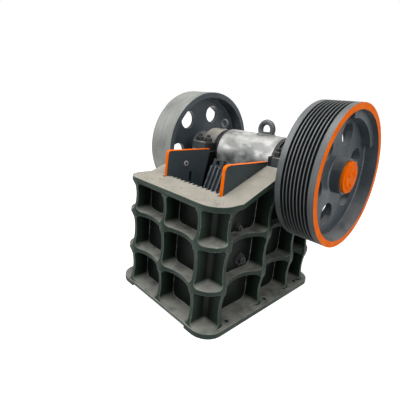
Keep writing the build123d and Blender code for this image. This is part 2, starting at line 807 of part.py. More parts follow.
shim_start_y = seat_face_y + rear_seat_t
with BuildPart() as adjusting_shims:
    with Locations((0, (shim_start_y + rear_wall_in_y) / 2, rear_seat_z)):
        Box(seat_w, rear_wall_in_y - shim_start_y, rear_seat_h)
save(adjusting_shims.part, "adjusting_shims")

# Tension rod from the pitman's foot through the rear wall, with its spring and nut
with BuildPart() as tension_rod:
    with BuildSketch(Plane.XZ.offset(-rod_lug_y)):
        with Locations((0, rod_z)):
            Circle(rod_r)
    extrude(amount=rod_lug_y - rod_end_y)
save(tension_rod.part, "tension_rod")


def rod_ring(start_y, length, outer_r, inner_r, name):
    """Round ring on the tension rod."""
    with BuildPart() as ring:
        with BuildSketch(Plane.XZ.offset(-start_y)):
            with Locations((0, rod_z)):
                Circle(outer_r)
                Circle(inner_r, mode=Mode.SUBTRACT)
        extrude(amount=-length)
    save(ring.part, name)


plate_y = rear_wall_out_y + spring_gap
spring_y = plate_y + spring_plate_t
rod_fit_r = rod_r + fit_clearance
rod_ring(plate_y, spring_plate_t, spring_plate_r, rod_fit_r, "spring_front_plate")
rod_ring(spring_y, spring_length, spring_r, spring_r - spring_wire, "tension_spring")
rod_ring(spring_y + spring_length, spring_plate_t, spring_plate_r, rod_fit_r, "spring_rear_plate")
rod_ring(spring_y + spring_length + spring_plate_t, rod_nut_t, rod_nut_r, rod_fit_r, "tension_rod_nut")
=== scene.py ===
"""Looks of a single-toggle jaw crusher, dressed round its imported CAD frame.

Every piece is in metres in the machine's own frame: +X along the eccentric shaft to
the drive pulley, -Y to the fixed jaw and +Z up.
"""

import json
import logging
import math
from dataclasses import asdict, dataclass, replace
from enum import Enum
from typing import Callable, ClassVar, Sequence

import bmesh
import bpy
from mathutils import Matrix, Vector
from mathutils.bvhtree import BVHTree
from mathutils.kdtree import KDTree


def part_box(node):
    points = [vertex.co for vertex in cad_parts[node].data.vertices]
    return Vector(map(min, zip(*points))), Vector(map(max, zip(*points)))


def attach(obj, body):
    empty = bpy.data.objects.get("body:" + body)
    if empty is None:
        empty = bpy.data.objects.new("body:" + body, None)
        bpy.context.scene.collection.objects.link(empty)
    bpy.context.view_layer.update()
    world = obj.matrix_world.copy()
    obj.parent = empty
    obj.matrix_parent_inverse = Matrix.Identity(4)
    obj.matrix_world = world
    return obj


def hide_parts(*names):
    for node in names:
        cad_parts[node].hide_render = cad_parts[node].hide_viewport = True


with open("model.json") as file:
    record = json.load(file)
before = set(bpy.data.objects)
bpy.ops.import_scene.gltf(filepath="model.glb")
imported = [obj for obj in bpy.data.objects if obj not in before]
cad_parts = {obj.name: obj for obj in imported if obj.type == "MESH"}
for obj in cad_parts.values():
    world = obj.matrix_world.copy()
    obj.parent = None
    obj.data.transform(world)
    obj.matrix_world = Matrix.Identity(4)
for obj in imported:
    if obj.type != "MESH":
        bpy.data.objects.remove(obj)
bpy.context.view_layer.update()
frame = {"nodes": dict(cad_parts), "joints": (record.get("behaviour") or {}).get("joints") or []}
LOG = logging.getLogger("jaw_crusher")

Colour = tuple[float, float, float, float]
Point = tuple[float, float, float]
Range = tuple[float, float]
Node = bpy.types.Node
Socket = bpy.types.NodeSocket
Sockets = dict[str, Socket]
Edge = bmesh.types.BMEdge

SHAFT_Y, SHAFT_Z = frame["joints"][0]["pos_m"][1:]
PHOTO_PIXELS = 400
WELD_GAP = 2e-5
FLAT_ANGLE = math.radians(0.5)
CREASE_ANGLE = math.radians(30)
ROUNDING_STEPS = 2
SIDES = {"right": 1, "left": -1}
UP = (0, 0, 1)
WHITE = (1, 1, 1, 1)
FLOAT, WHOLE, COLOUR = "NodeSocketFloat", "NodeSocketInt", "NodeSocketColor"


class Body(Enum):
    """Moving and fixed groups of the machine."""

    FRAME = "frame"
    DRIVE = "drive_shaft"
    JAW = "swing_jaw"


def srgb(red: int, green: int, blue: int) -> Colour:
    """Turn a colour as a screen shows it into the linear one that shaders use.

    Args:
        red: Red, 0 to 255.
        green: Green, 0 to 255.
        blue: Blue, 0 to 255.

    Returns:
        The linear colour with full alpha.
    """
    shares = [value / 255 for value in (red, green, blue)]
    linear = [c / 12.92 if c <= 0.04045 else ((c + 0.055) / 1.055) ** 2.4 for c in shares]
    return (*linear, 1.0)


class Wiring:
    """Adds nodes to one node tree and joins them by socket name."""

    def __init__(self, tree: bpy.types.NodeTree) -> None:
        """Keep the tree that nodes are added to."""
        self.tree = tree

    def feed(self, node: Node, inputs: dict) -> None:
        """Set a node's inputs.

        Args:
            node: The node.
            inputs: Socket name or number to a constant or to another node's output.
        """
        for key, value in inputs.items():
            if isinstance(value, Socket):
                self.tree.links.new(value, node.inputs[key])
            else:
                node.inputs[key].default_value = value

    def node(self, kind: str, inputs: dict | None = None, **settings: object) -> Node:
        """Add one node.

        Args:
            kind: Blender's type name of the node.
            inputs: Its inputs, as feed takes them.
            settings: Attributes of the node, set before its inputs.

        Returns:
            The new node.
        """
        made = self.tree.nodes.new(kind)
        for name, value in settings.items():
            setattr(made, name, value)
        self.feed(made, inputs or {})
        return made

    def out(self, kind: str, inputs: dict | None = None, **settings: object) -> Socket:
        """Add one node and return its first output."""
        return self.node(kind, inputs, **settings).outputs[0]

    def math(self, operation: str, first: object, second: object = 0.0) -> Socket:
        """Add a Math node and return its result."""
        return self.out("ShaderNodeMath", {0: first, 1: second}, operation=operation)

    def plus(self, first: object, second: object) -> Socket:
        """Return the sum of two values."""
        return self.math("ADD", first, second)

    def minus(self, first: object, second: object) -> Socket:
        """Return the first value less the second."""
        return self.math("SUBTRACT", first, second)

    def times(self, first: object, second: object) -> Socket:
        """Return the product of two values."""
        return self.math("MULTIPLY", first, second)

    def band(self, value: object, low: object, high: object, **settings: object) -> Socket:
        """Map a value to 0 at low and 1 at high, clamped, and return it."""
        ends = {"Value": value, "From Min": low, "From Max": high}
        return self.out("ShaderNodeMapRange", ends, **settings)

    def mix(self, share: object, first: object, second: object) -> Socket:
        """Mix two colours by a share and return the result."""
        return self.node("ShaderNodeMix", {0: share, 6: first, 7: second}, data_type="RGBA").outputs[2]

    def place(self) -> Socket:
        """Return the Object coordinates."""
        return self.node("ShaderNodeTexCoord").outputs["Object"]

    def axes(self, vector: Socket) -> Sockets:
        """Return a vector's X, Y and Z."""
        return self.node("ShaderNodeSeparateXYZ", {0: vector}).outputs

    def noise(self, scale: object, detail: float, vector: Socket | None = None) -> Socket:
        """Add a Noise texture on a vector, or on Object coordinates, and return its value."""
        inputs = {"Vector": vector or self.place(), "Scale": scale, "Detail": detail}
        return self.node("ShaderNodeTexNoise", inputs).outputs["Fac"]

    def bump(self, height: Socket, depth: float, strength: float) -> Socket:
        """Turn a height into a normal and return it."""
        inputs = {"Height": height, "Distance": depth, "Strength": strength}
        return self.out("ShaderNodeBump", inputs)


@dataclass(frozen=True)
class Patches:
    """Clouds of noise cut to a mask: scale, detail, and where the mask starts and is full."""

    scale: float
    detail: float
    low: float
    high: float

    def wire(self, w: Wiring, vector: Socket | None = None, scale: Socket | None = None) -> Socket:
        """Return the mask, on a vector and with a scale of its own if they are given."""
        return w.band(w.noise(scale or self.scale, self.detail, vector), self.low, self.high)


def wiring_of(block: bpy.types.Material | bpy.types.World) -> Wiring:
    """Empty the node tree of a new material or world.

    Args:
        block: The material or world.

    Returns:
        The wiring of its tree.
    """
    block.use_nodes = True
    block.node_tree.nodes.clear()
    return Wiring(block.node_tree)


def put_in_scene(name: str, data: bpy.types.ID) -> bpy.types.Object:
    """Make an object and link it to the scene.

    Args:
        name: Name of the object.
        data: Its mesh, light or camera.

    Returns:
        The new object.
    """
    obj = bpy.data.objects.new(name, data)
    bpy.context.scene.collection.objects.link(obj)
    return obj


class NodeGroup:
    """A node tree with named inputs and outputs, built once at its first use."""

    kind = "ShaderNodeTree"
    name = "Group"
    inputs: Sequence[tuple] = ()
    outputs: Sequence[tuple] = ()

    def wire(self, w: Wiring, given: Sockets) -> Sockets:
        """Wire the group's nodes.

        Args:
            w: Wiring of the group's tree.
            given: Outputs of the group's input node, by name.

        Returns:
            The sockets that feed the group's outputs, by name.
        """
        raise NotImplementedError

    def tree(self) -> bpy.types.NodeTree:
        """Build the group's tree, or find it.

        Returns:
            The tree.
        """
        found = bpy.data.node_groups.get(self.name)
        if found:
            return found
        made = bpy.data.node_groups.new(self.name, self.kind)
        for name, kind, *default in self.inputs:
            socket = made.interface.new_socket(name=name, in_out="INPUT", socket_type=kind)
            if default:
                socket.default_value = default[0]
        for name, kind in self.outputs:
            made.interface.new_socket(name=name, in_out="OUTPUT", socket_type=kind)
        w = Wiring(made)
        w.node("NodeGroupOutput", self.wire(w, w.node("NodeGroupInput").outputs))
        return made


class Effect(NodeGroup):
    """A shader effect that several finishes share."""

    def place(self, w: Wiring, values: dict | None = None) -> Sockets:
        """Place the group in a material with its own values and return its outputs."""
        return w.node("ShaderNodeGroup", values, node_tree=self.tree()).outputs


class DustAndTopLight(Effect):
    """Dust that lies on faces that look up, patchy and thicker on high ledges; on the frame's shelves and
    inside the wheels it is set lighter as painted top light as well.
    """

    name = "Settled dust"
    inputs = (("Amount", FLOAT, 0.6), ("Scale", FLOAT, 9.0), ("Level", FLOAT, 0.0))
    outputs = (("Mask", FLOAT),)
    upward: Range = (0.25, 0.95)
    ledges: Range = (0.80, 0.92)
    patches = Patches(9.0, 5.0, 0.12, 0.55)
    grains = Patches(160.0, 2.0, 0.2, 0.75)
    grain_share = 0.35

    def wire(self, w: Wiring, given: Sockets) -> Sockets:
        """Wire an upward mask, a height mask and a patchy noise."""
        up = w.band(w.axes(w.node("ShaderNodeNewGeometry").outputs["Normal"])["Z"], *self.upward)
        high = w.times(w.band(w.axes(w.place())["Z"], *self.ledges), given["Level"])
        share = w.plus(w.times(self.patches.wire(w, scale=given["Scale"]), given["Amount"]), high)
        grainy = w.plus(w.times(self.grains.wire(w), self.grain_share), 1 - self.grain_share)
        return {"Mask": w.math("MINIMUM", w.times(up, w.times(share, grainy)), 1.0)}


class WornPaint(Effect):
    """Brushed or sprayed paint: uneven tone, thin places and pale scuffs."""

    name = "Worn paint"
    inputs = (
        ("Paint", COLOUR, (0.1, 0.1, 0.1, 1)),
        ("Shade", COLOUR, (0.05, 0.05, 0.05, 1)),
        ("Worn", COLOUR, (0.4, 0.4, 0.4, 1)),
        ("Scale", FLOAT, 5.0),
        ("Wear", FLOAT, 0.3),
        ("Roughness", FLOAT, 0.5),
    )
    outputs = (("Color", COLOUR), ("Roughness", FLOAT), ("Height", FLOAT))
    tones = Patches(5.0, 6.0, 0.3, 0.7)
    streaks = Patches(1.6, 3.0, 0.62, 0.72)
    streak_lie = {"Scale": (9.0, 9.0, 60.0), "Rotation": (0.4, 0.9, 0.2)}
    clouds = Patches(3.1, 2.0, 0.48, 0.66)
    chips = Patches(70.0, 4.0, 0.66, 0.72)
    tone_roughness = 0.18
    tone_height = 0.35

    def wire(self, w: Wiring, given: Sockets) -> Sockets:
        """Wire tone clouds, scuffs and small chips."""
        tone = self.tones.wire(w, scale=given["Scale"])
        lie = w.out("ShaderNodeMapping", {"Vector": w.place(), **self.streak_lie})
        cloud = self.clouds.wire(w)
        scuffs = w.times(w.math("MAXIMUM", self.streaks.wire(w, lie), self.chips.wire(w)), cloud)
        mask = w.times(scuffs, given["Wear"])
        return {
            "Color": w.mix(mask, w.mix(tone, given["Paint"], given["Shade"]), given["Worn"]),
            "Roughness": w.plus(given["Roughness"], w.times(w.minus(tone, 0.5), self.tone_roughness)),
            "Height": w.minus(w.times(tone, self.tone_height), mask),
        }


class PaintedCellShade(Effect):
    """Painted shade for the frame's cells: a mask of how far a place lies behind the outer faces of the cast
    frame.
    """

    name = "Cell depth"
    inputs = (("Start", FLOAT, 0.01), ("End", FLOAT, 0.11))
    outputs = (("Mask", FLOAT),)
    half_width = 0.520
    front = -0.715
    rear = 0.680

    def wire(self, w: Wiring, given: Sockets) -> Sockets:
        """Wire the least distance to the four planes that touch the ribs."""
        axes = w.axes(w.place())
        side = w.minus(self.half_width, w.math("ABSOLUTE", axes["X"]))
        ends = w.math("MINIMUM", w.minus(axes["Y"], self.front), w.minus(self.rear, axes["Y"]))
        depth = w.math("MINIMUM", side, ends)
        return {"Mask": w.band(depth, given["Start"], given["End"], interpolation_type="SMOOTHSTEP")}


class CastSkin(Effect):
    """Bump of a sand-cast surface: grain, dimples and slow waves, each with scale, detail and share."""

    name = "Cast skin"
    inputs = (("Scale", FLOAT, 1.0),)
    outputs = (("Height", FLOAT),)
    layers = ((240.0, 3.0, 0.25), (48.0, 4.0, 0.6), (7.0, 2.0, 1.4))

    def wire(self, w: Wiring, given: Sockets) -> Sockets:
        """Wire three sizes of noise together."""
        total = 0.0
        for scale, detail, share in self.layers:
            layer = w.noise(w.times(given["Scale"], scale), detail)
            total = w.plus(total, w.times(layer, share))
        return {"Height": total}


class TurnedMarks(Effect):
    """Fine lathe marks and smears round the shaft's axis."""

    name = "Turned marks"
    inputs = (("Pitch", FLOAT, 400.0),)
    outputs = (("Mask", FLOAT),)
    turn_scale = 2.0

    def wire(self, w: Wiring, given: Sockets) -> Sockets:
        """Wire rings of noise on the distance from the axis and the place along it."""
        axes = w.axes(w.place())
        across, up = w.minus(axes["Y"], SHAFT_Y), w.minus(axes["Z"], SHAFT_Z)
        radius = w.math("SQRT", w.plus(w.times(across, across), w.times(up, up)))
        flat = w.node("ShaderNodeCombineXYZ", {
            "X": w.times(radius, given["Pitch"]),
            "Y": w.times(axes["X"], given["Pitch"]),
            "Z": w.times(w.math("ARCTAN2", up, across), self.turn_scale),
        })
        return {"Mask": w.noise(1.0, 3.0, flat.outputs[0])}


DUST_AND_TOP_LIGHT = DustAndTopLight()
PAINTED_CELL_SHADE = PaintedCellShade()
PAINT = WornPaint()
SKIN = CastSkin()
TURNED = TurnedMarks()


class Finish:
    """Base of the finishes: one material, built at its first use.

    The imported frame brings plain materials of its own, so finishes are kept by name here.
    """

    name: str
    kept: ClassVar[dict[str, bpy.types.Material]] = {}

    def wire(self, w: Wiring, surface: Node) -> None:
        """Wire the finish's nodes.

        Args:
            w: Wiring of the material's tree.
            surface: The material's Principled BSDF.
        """
        raise NotImplementedError

    def material(self) -> bpy.types.Material:
        """Build the finish's material, or find it.

        Returns:
            The material.
        """
        if self.name not in self.kept:
            made = self.kept[self.name] = bpy.data.materials.new(f"look_{self.name}")
            w = wiring_of(made)
            surface = w.node("ShaderNodeBsdfPrincipled")
            w.node("ShaderNodeOutputMaterial", {"Surface": surface.outputs[0]})
            self.wire(w, surface)
        return self.kept[self.name]


@dataclass(frozen=True)
class Painted(Finish):
    """Paint on cast or plate metal, with scuffs, a dusty tone on upward faces that on the frame and wheels is
    also painted top light, and painted shade in the frame's cell recesses.
    """

    name: str
    paint: Colour
    shade: Colour
    worn: Colour
    dust: Colour = srgb(126, 117, 106)
    dust_amount: float = 0.0
    dust_level: float = 0.0
    wear: float = 0.3
    roughness: float = 0.5
    skin: float = 0.0012
    scale: float = 5.0
    # Painted shade: the colour that the paint darkens to towards the backs of the frame's cells, or None.
    deep: Colour | None = None
    gloss: float = 0.25
    seal: Colour | None = None
    seal_end: float = 0.0
    seal_fade: float = 0.001
    dust_roughness: float = 0.35
    roughest: float = 0.95
    coat_height: float = 0.4
    bump_strength: float = 0.55

    def wire(self, w: Wiring, surface: Node) -> None:
        """Wire worn paint under a dusty tone that on the frame and wheels is also painted top light, with
        painted shade darkening the cell recesses and a cast skin below all.
        """
        coat = PAINT.place(w, {
            "Paint": self.paint, "Shade": self.shade, "Worn": self.worn,
            "Scale": self.scale, "Wear": self.wear, "Roughness": self.roughness,
        })
        colour, rough = coat["Color"], coat["Roughness"]
        # Painted shade: darken the paint towards the backs of the frame's cells, where shade falls.
        if self.deep:
            colour = w.mix(PAINTED_CELL_SHADE.place(w)["Mask"], colour, self.deep)
        # Dusty tone on upward faces; on the frame's shelves and inside the wheels it is also painted top
        # light.
        if self.dust_amount or self.dust_level:
            dust = DUST_AND_TOP_LIGHT.place(w, {"Amount": self.dust_amount, "Level": self.dust_level})["Mask"]
            colour = w.mix(dust, colour, self.dust)
            rough = w.plus(rough, w.times(dust, self.dust_roughness))
        if self.seal:
            along = w.math("ABSOLUTE", w.axes(w.place())["X"])
            colour = w.mix(w.band(along, self.seal_end + self.seal_fade, self.seal_end), colour, self.seal)
        height = w.plus(SKIN.place(w)["Height"], w.times(coat["Height"], self.coat_height))
        w.feed(surface, {
            "Base Color": colour,
            "Roughness": w.math("MINIMUM", rough, self.roughest),
            "Specular IOR Level": self.gloss,
            "Normal": w.bump(height, self.skin, self.bump_strength),
        })


@dataclass(frozen=True)
class Turned(Finish):
    """Bare machined metal with lathe marks, dulled in streaks."""

    name: str
    bright: Colour
    dull: Colour
    roughness: float = 0.38
    metallic: float = 0.75
    pitch: float = 400.0
    mark_range: Range = (0.3, 0.7)
    mark_share: float = 0.45
    smears: Patches = Patches(4.0, 5.0, 0.35, 0.68)
    dull_roughness: float = 0.2
    mark_depth: float = 0.0004
    bump_strength: float = 0.5

    def wire(self, w: Wiring, surface: Node) -> None:
        """Wire rings of tone and roughness under slow smears."""
        marks = TURNED.place(w, {"Pitch": self.pitch})["Mask"]
        rings = w.times(w.band(marks, *self.mark_range), self.mark_share)
        share = w.plus(rings, w.times(self.smears.wire(w), 1 - self.mark_share))
        w.feed(surface, {
            "Base Color": w.mix(share, self.bright, self.dull),
            "Roughness": w.plus(w.times(share, self.dull_roughness), self.roughness),
            "Metallic": self.metallic,
            "Normal": w.bump(marks, self.mark_depth, self.bump_strength),
        })


@dataclass(frozen=True)
class Mottled(Finish):
    """Silver paint laid on by hand: bright and dark clouds that run into each other."""

    name: str
    bright: Colour
    middle: Colour
    dark: Colour
    dust: Colour = srgb(150, 143, 134)
    dust_amount: float = 0.35
    dust_scale: float = 7.0
    stretch: Point = (1.0, 1.6, 1.6)
    clouds: Patches = Patches(5.5, 7.0, 0.40, 0.62)
    blots: Patches = Patches(14.0, 5.0, 0.42, 0.66)
    stained: Patches = Patches(3.2, 3.0, 0.42, 0.6)
    stain_share: float = 0.75
    stain_roughness: float = 0.22
    roughness: float = 0.34
    metallic: float = 0.45
    skin: float = 0.0014
    bump_strength: float = 0.6

    def wire(self, w: Wiring, surface: Node) -> None:
        """Wire two sizes of clouds between the three tones."""
        lie = w.out("ShaderNodeMapping", {"Vector": w.place(), "Scale": self.stretch})
        base = w.mix(self.clouds.wire(w, lie), self.middle, self.bright)
        stain = w.times(self.blots.wire(w, lie), self.stained.wire(w))
        colour = w.mix(w.times(stain, self.stain_share), base, self.dark)
        dust = DUST_AND_TOP_LIGHT.place(w, {"Amount": self.dust_amount, "Scale": self.dust_scale})["Mask"]
        w.feed(surface, {
            "Base Color": w.mix(dust, colour, self.dust),
            "Roughness": w.plus(w.times(stain, self.stain_roughness), self.roughness),
            "Metallic": self.metallic,
            "Normal": w.bump(SKIN.place(w)["Height"], self.skin, self.bump_strength),
        })


# Frame paint: painted shade darkens it towards the backs of the cells, and the dusty tone on its shelves is
# lightened further as painted top light.
FRAME_PAINT = Painted(
    "frame_paint", srgb(36, 51, 42), srgb(24, 36, 29), srgb(98, 111, 102), srgb(132, 132, 125),
    dust_amount=1.0, dust_level=0.5, wear=0.35, roughness=0.45, skin=0.0016, deep=srgb(9, 14, 11), gloss=0.16,
)
# Rounded frame edges: worn paint with grit in the inner corners, lighter than the faces as a painted
# highlight.
FRAME_EDGE = Painted(
    "frame_edge_wear", srgb(78, 91, 82), srgb(40, 52, 44), srgb(168, 174, 166), srgb(160, 157, 148),
    dust_amount=0.6, dust_level=0.3, wear=0.9, roughness=0.40, skin=0.0010, scale=11.0,
)
# Corner beads: pale grit, lightened as a painted highlight along the inner corners.
BEAD_GRIT_AND_HIGHLIGHT = Painted(
    "bead_wear", srgb(140, 146, 137), srgb(58, 66, 60), srgb(196, 198, 188), srgb(160, 158, 149),
    dust_amount=0.4, wear=1.0, roughness=0.5, skin=0.0006, scale=16.0,
)
GRIT_DARK = Painted(
    "grit_dark", srgb(124, 118, 107), srgb(86, 82, 75), srgb(150, 144, 132), wear=0.5, roughness=0.9,
    skin=0.0006, scale=30.0, gloss=0.1,
)
FLANGE_DUST = Painted(
    "flange_dust", srgb(133, 129, 118), srgb(98, 96, 89), srgb(168, 163, 151), srgb(152, 147, 136),
    dust_amount=0.6, dust_level=0.35, wear=0.8, roughness=0.78, skin=0.0030, scale=10.0,
)
JAW_STEEL = Painted(
    "jaw_steel", srgb(62, 69, 73), srgb(44, 50, 55), srgb(124, 128, 132), srgb(116, 112, 106),
    dust_amount=0.25, wear=0.45, roughness=0.42, skin=0.0012,
)
JAW_EDGE = Painted(
    "jaw_edge_wear", srgb(142, 147, 152), srgb(96, 101, 107), srgb(196, 199, 203), wear=0.9, roughness=0.34,
    skin=0.0006, scale=12.0,
)
PLATE_PAINT = Painted(
    "plate_paint", srgb(62, 70, 73), srgb(52, 60, 63), srgb(108, 112, 114), srgb(112, 108, 101),
    dust_amount=0.15, wear=0.2, roughness=0.36, skin=0.0005, scale=3.0,
)
ORANGE_PAINT = Painted(
    "orange_paint", srgb(238, 110, 4), srgb(226, 96, 0), srgb(246, 158, 92), srgb(180, 122, 72),
    dust_amount=0.1, wear=0.3, roughness=0.45, skin=0.0005, scale=9.0, gloss=0.02,
)
# Wheel paint: the dusty tone on upward faces is set lighter as painted top light on the lit bottom inside the
# rims.
WHEEL_PAINT = Painted(
    "wheel_paint", srgb(74, 81, 86), srgb(54, 61, 66), srgb(128, 132, 135), srgb(142, 142, 141),
    dust_amount=0.9, wear=0.5, roughness=0.40, skin=0.0010, scale=4.0,
)
WHEEL_EDGE = Painted(
    "wheel_edge_wear", srgb(112, 116, 121), srgb(76, 80, 86), srgb(168, 170, 172), wear=0.8, roughness=0.4,
    skin=0.0006, scale=10.0,
)
GROOVE_PAINT = Painted(
    "groove_paint", srgb(27, 29, 32), srgb(18, 20, 22), srgb(80, 82, 84), wear=0.3, roughness=0.5,
    skin=0.0003,
)
HOUSING_PAINT = Painted(
    "housing_paint", srgb(66, 70, 70), srgb(48, 52, 53), srgb(128, 128, 124), srgb(150, 146, 135),
    dust_amount=1.0, wear=0.35, roughness=0.5, skin=0.0016,
)
FORGED = Painted(
    "forged_steel", srgb(92, 95, 97), srgb(64, 67, 70), srgb(150, 152, 154), srgb(140, 134, 126),
    dust_amount=0.3, wear=0.6, roughness=0.42, skin=0.0012, scale=14.0,
)
BOLT_BLACK = Painted(
    "bolt_black", srgb(48, 50, 52), srgb(32, 34, 36), srgb(120, 120, 118), srgb(112, 104, 96),
    dust_amount=0.5, wear=0.6, roughness=0.42, skin=0.0003, scale=20.0,
)
BOLT_PALE = Painted(
    "bolt_pale", srgb(176, 174, 166), srgb(128, 126, 120), srgb(206, 204, 198), wear=0.6, roughness=0.35,
    skin=0.0003, scale=20.0,
)
CAP_PAINT = replace(HOUSING_PAINT, name="cap_paint", seal=srgb(18, 19, 21), seal_end=0.366)
SEAL_BLACK = Painted(
    "seal_black", srgb(24, 25, 27), srgb(16, 17, 18), srgb(64, 66, 68), srgb(104, 98, 92),
    dust_amount=0.2, wear=0.3, roughness=0.5, skin=0.0004,
)
TOGGLE_IRON = Painted(
    "toggle_iron", srgb(62, 63, 64), srgb(46, 47, 49), srgb(112, 108, 102), srgb(112, 103, 93),
    dust_amount=0.5, wear=0.5, roughness=0.55, skin=0.0018,
)
RIM_STEEL = Turned(
    "rim_steel", srgb(138, 139, 134), srgb(92, 94, 92), roughness=0.46, metallic=0.35, pitch=120.0,
)
LAND_STEEL = Turned("land_steel", srgb(98, 101, 101), srgb(52, 56, 57), roughness=0.44, metallic=0.25)
SHAFT_STEEL = Turned("shaft_steel", srgb(180, 180, 178), srgb(130, 130, 128), roughness=0.3)
PITMAN_SILVER = Mottled("pitman_silver", srgb(190, 190, 187), srgb(116, 118, 117), srgb(56, 59, 60))


@dataclass(frozen=True)
class Spot:
    """Where a fastener stands and which way it looks."""

    place: Point
    aim: Point = UP


@dataclass(frozen=True)
class HexSize:
    """Sizes of a hex fastener: across its flats, its height, its washer and the stud above it.

    A square washer keeps its fastener square to the wall.
    """

    across: float
    height: float
    washer: float = 0.0
    washer_height: float = 0.0
    stud: float = 0.0
    stud_height: float = 0.0
    washer_sides: int = 28

    def inputs(self) -> dict[str, float]:
        """Return the sizes by the names that the tree's inputs have."""
        sizes = {name.replace("_", " ").capitalize(): value for name, value in asdict(self).items()}
        return sizes | {"Turn": 0.0 if self.washer_sides == 4 else math.pi}


class GeometryTree(NodeGroup):
    """A geometry-nodes tree with named inputs that is baked to plain meshes."""

    kind = "GeometryNodeTree"
    outputs = (("Geometry", "NodeSocketGeometry"),)
    shape_in = ("Geometry", "NodeSocketGeometry")
    finish_in = ("Finish", "NodeSocketMaterial")

    @staticmethod
    def painted(w: Wiring, given: Sockets, shape: Socket) -> Sockets:
        """Realise a shape and give it the tree's finish.

        Args:
            w: Wiring of the tree.
            given: Outputs of the tree's input node, by name.
            shape: The shape.

        Returns:
            The socket that feeds the tree's output, by name.
        """
        real = w.out("GeometryNodeRealizeInstances", {0: shape})
        inputs = {"Geometry": real, "Material": given["Finish"]}
        return {"Geometry": w.out("GeometryNodeSetMaterial", inputs)}

    def make(
        self, name: str, spots: Sequence[Spot], body: Body, finish: Finish,
        values: dict[str, object] | None = None,
        edges: Sequence[tuple[int, int]] = (), faces: Sequence[Sequence[int]] = (),
    ) -> bpy.types.Object:
        """Bake the tree to one plain mesh that rides on a body.

        Args:
            name: Name of the new object.
            spots: Points that the tree gets, each with its aim.
            body: Body that the object rides on.
            finish: Its finish.
            values: Values of the tree's inputs, by name.
            edges: Pairs of spots that are joined by an edge.
            faces: Rings of spots that bound a face.

        Returns:
            The new object.
        """
        mesh = bpy.data.meshes.new(name)
        mesh.from_pydata([spot.place for spot in spots], edges, faces)
        aims = mesh.attributes.new("aim", "FLOAT_VECTOR", "POINT")
        for item, spot in zip(aims.data, spots):
            item.vector = spot.aim
        obj = put_in_scene(name, mesh)
        build = obj.modifiers.new("Build", "NODES")
        build.node_group = self.tree()
        values = {**(values or {}), "Finish": finish.material()}
        for item in self.tree().interface.items_tree:
            if item.in_out == "INPUT" and item.name in values:
                build[item.identifier] = values[item.name]
        ready = obj.evaluated_get(bpy.context.evaluated_depsgraph_get())
        plain = bpy.data.meshes.new_from_object(ready)
        obj.modifiers.clear()
        obj.data = plain
        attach(obj, body.value)
        LOG.info("baked %s: %d faces", name, len(plain.polygons))
        return obj


class HexTree(GeometryTree):
    """Hex nuts or bolt heads with chamfered crowns, on washers, with studs."""

    name = "Hex fasteners"
    inputs = (
        GeometryTree.shape_in,
        ("Across", FLOAT, 0.03),
        ("Height", FLOAT, 0.02),
        ("Washer", FLOAT, 0.0),
        ("Washer height", FLOAT, 0.0),
        ("Washer sides", WHOLE, 28),
        ("Stud", FLOAT, 0.0),
        ("Stud height", FLOAT, 0.0),
        ("Turn", FLOAT, math.pi),
        ("Seed", WHOLE, 7),
        GeometryTree.finish_in,
    )
    crown_share = 0.18
    crown_taper = 0.85
    stud_sides = 18
    stud_taper = 0.92

    @staticmethod
    def disc(w: Wiring, sides: object, low: object, high: object, height: object, lift: object) -> Socket:
        """Add a many-sided disc.

        Args:
            w: Wiring of the tree.
            sides: Number of its sides.
            low: Its radius at the bottom.
            high: Its radius at the top.
            height: Its height.
            lift: How high it stands.

        Returns:
            The disc.
        """
        sizes = {"Vertices": sides, "Radius Bottom": low, "Radius Top": high, "Depth": height}
        made = w.node("GeometryNodeMeshCone", sizes).outputs["Mesh"]
        shift = w.out("ShaderNodeCombineXYZ", {"Z": lift})
        return w.out("GeometryNodeTransform", {"Geometry": made, "Translation": shift})

    def wire(self, w: Wiring, given: Sockets) -> Sockets:
        """Wire washer, hex, crown and stud on each point, turned by a fixed seed."""
        radius = w.math("DIVIDE", given["Across"], math.sqrt(3))
        body = w.times(given["Height"], 1 - self.crown_share)
        crown = w.times(given["Height"], self.crown_share)
        washer, washer_top, stud = given["Washer"], given["Washer height"], given["Stud"]
        crown_low, stud_low = w.plus(washer_top, body), w.plus(washer_top, given["Height"])
        stud_end = w.times(stud, self.stud_taper)
        join = w.node("GeometryNodeJoinGeometry")
        for piece in (
            self.disc(w, given["Washer sides"], washer, washer, washer_top, 0.0),
            self.disc(w, 6, radius, radius, body, washer_top),
            self.disc(w, 6, radius, w.times(radius, self.crown_taper), crown, crown_low),
            self.disc(w, self.stud_sides, stud, stud_end, given["Stud height"], stud_low),
        ):
            w.feed(join, {0: piece})
        aim = w.out("GeometryNodeInputNamedAttribute", {"Name": "aim"}, data_type="FLOAT_VECTOR")
        stand = w.out("FunctionNodeAlignRotationToVector", {"Vector": aim}, axis="Z")
        span = {2: 0.0, 3: given["Turn"], "Seed": given["Seed"]}
        chance = w.node("FunctionNodeRandomValue", span).outputs[1]
        spin = w.out("FunctionNodeAxisAngleToRotation", {"Axis": UP, "Angle": chance})
        turned = w.out("FunctionNodeRotateRotation", {0: stand, 1: spin}, rotation_space="LOCAL")
        places = {"Points": given["Geometry"], "Instance": join.outputs[0], "Rotation": turned}
        return self.painted(w, given, w.out("GeometryNodeInstanceOnPoints", places))


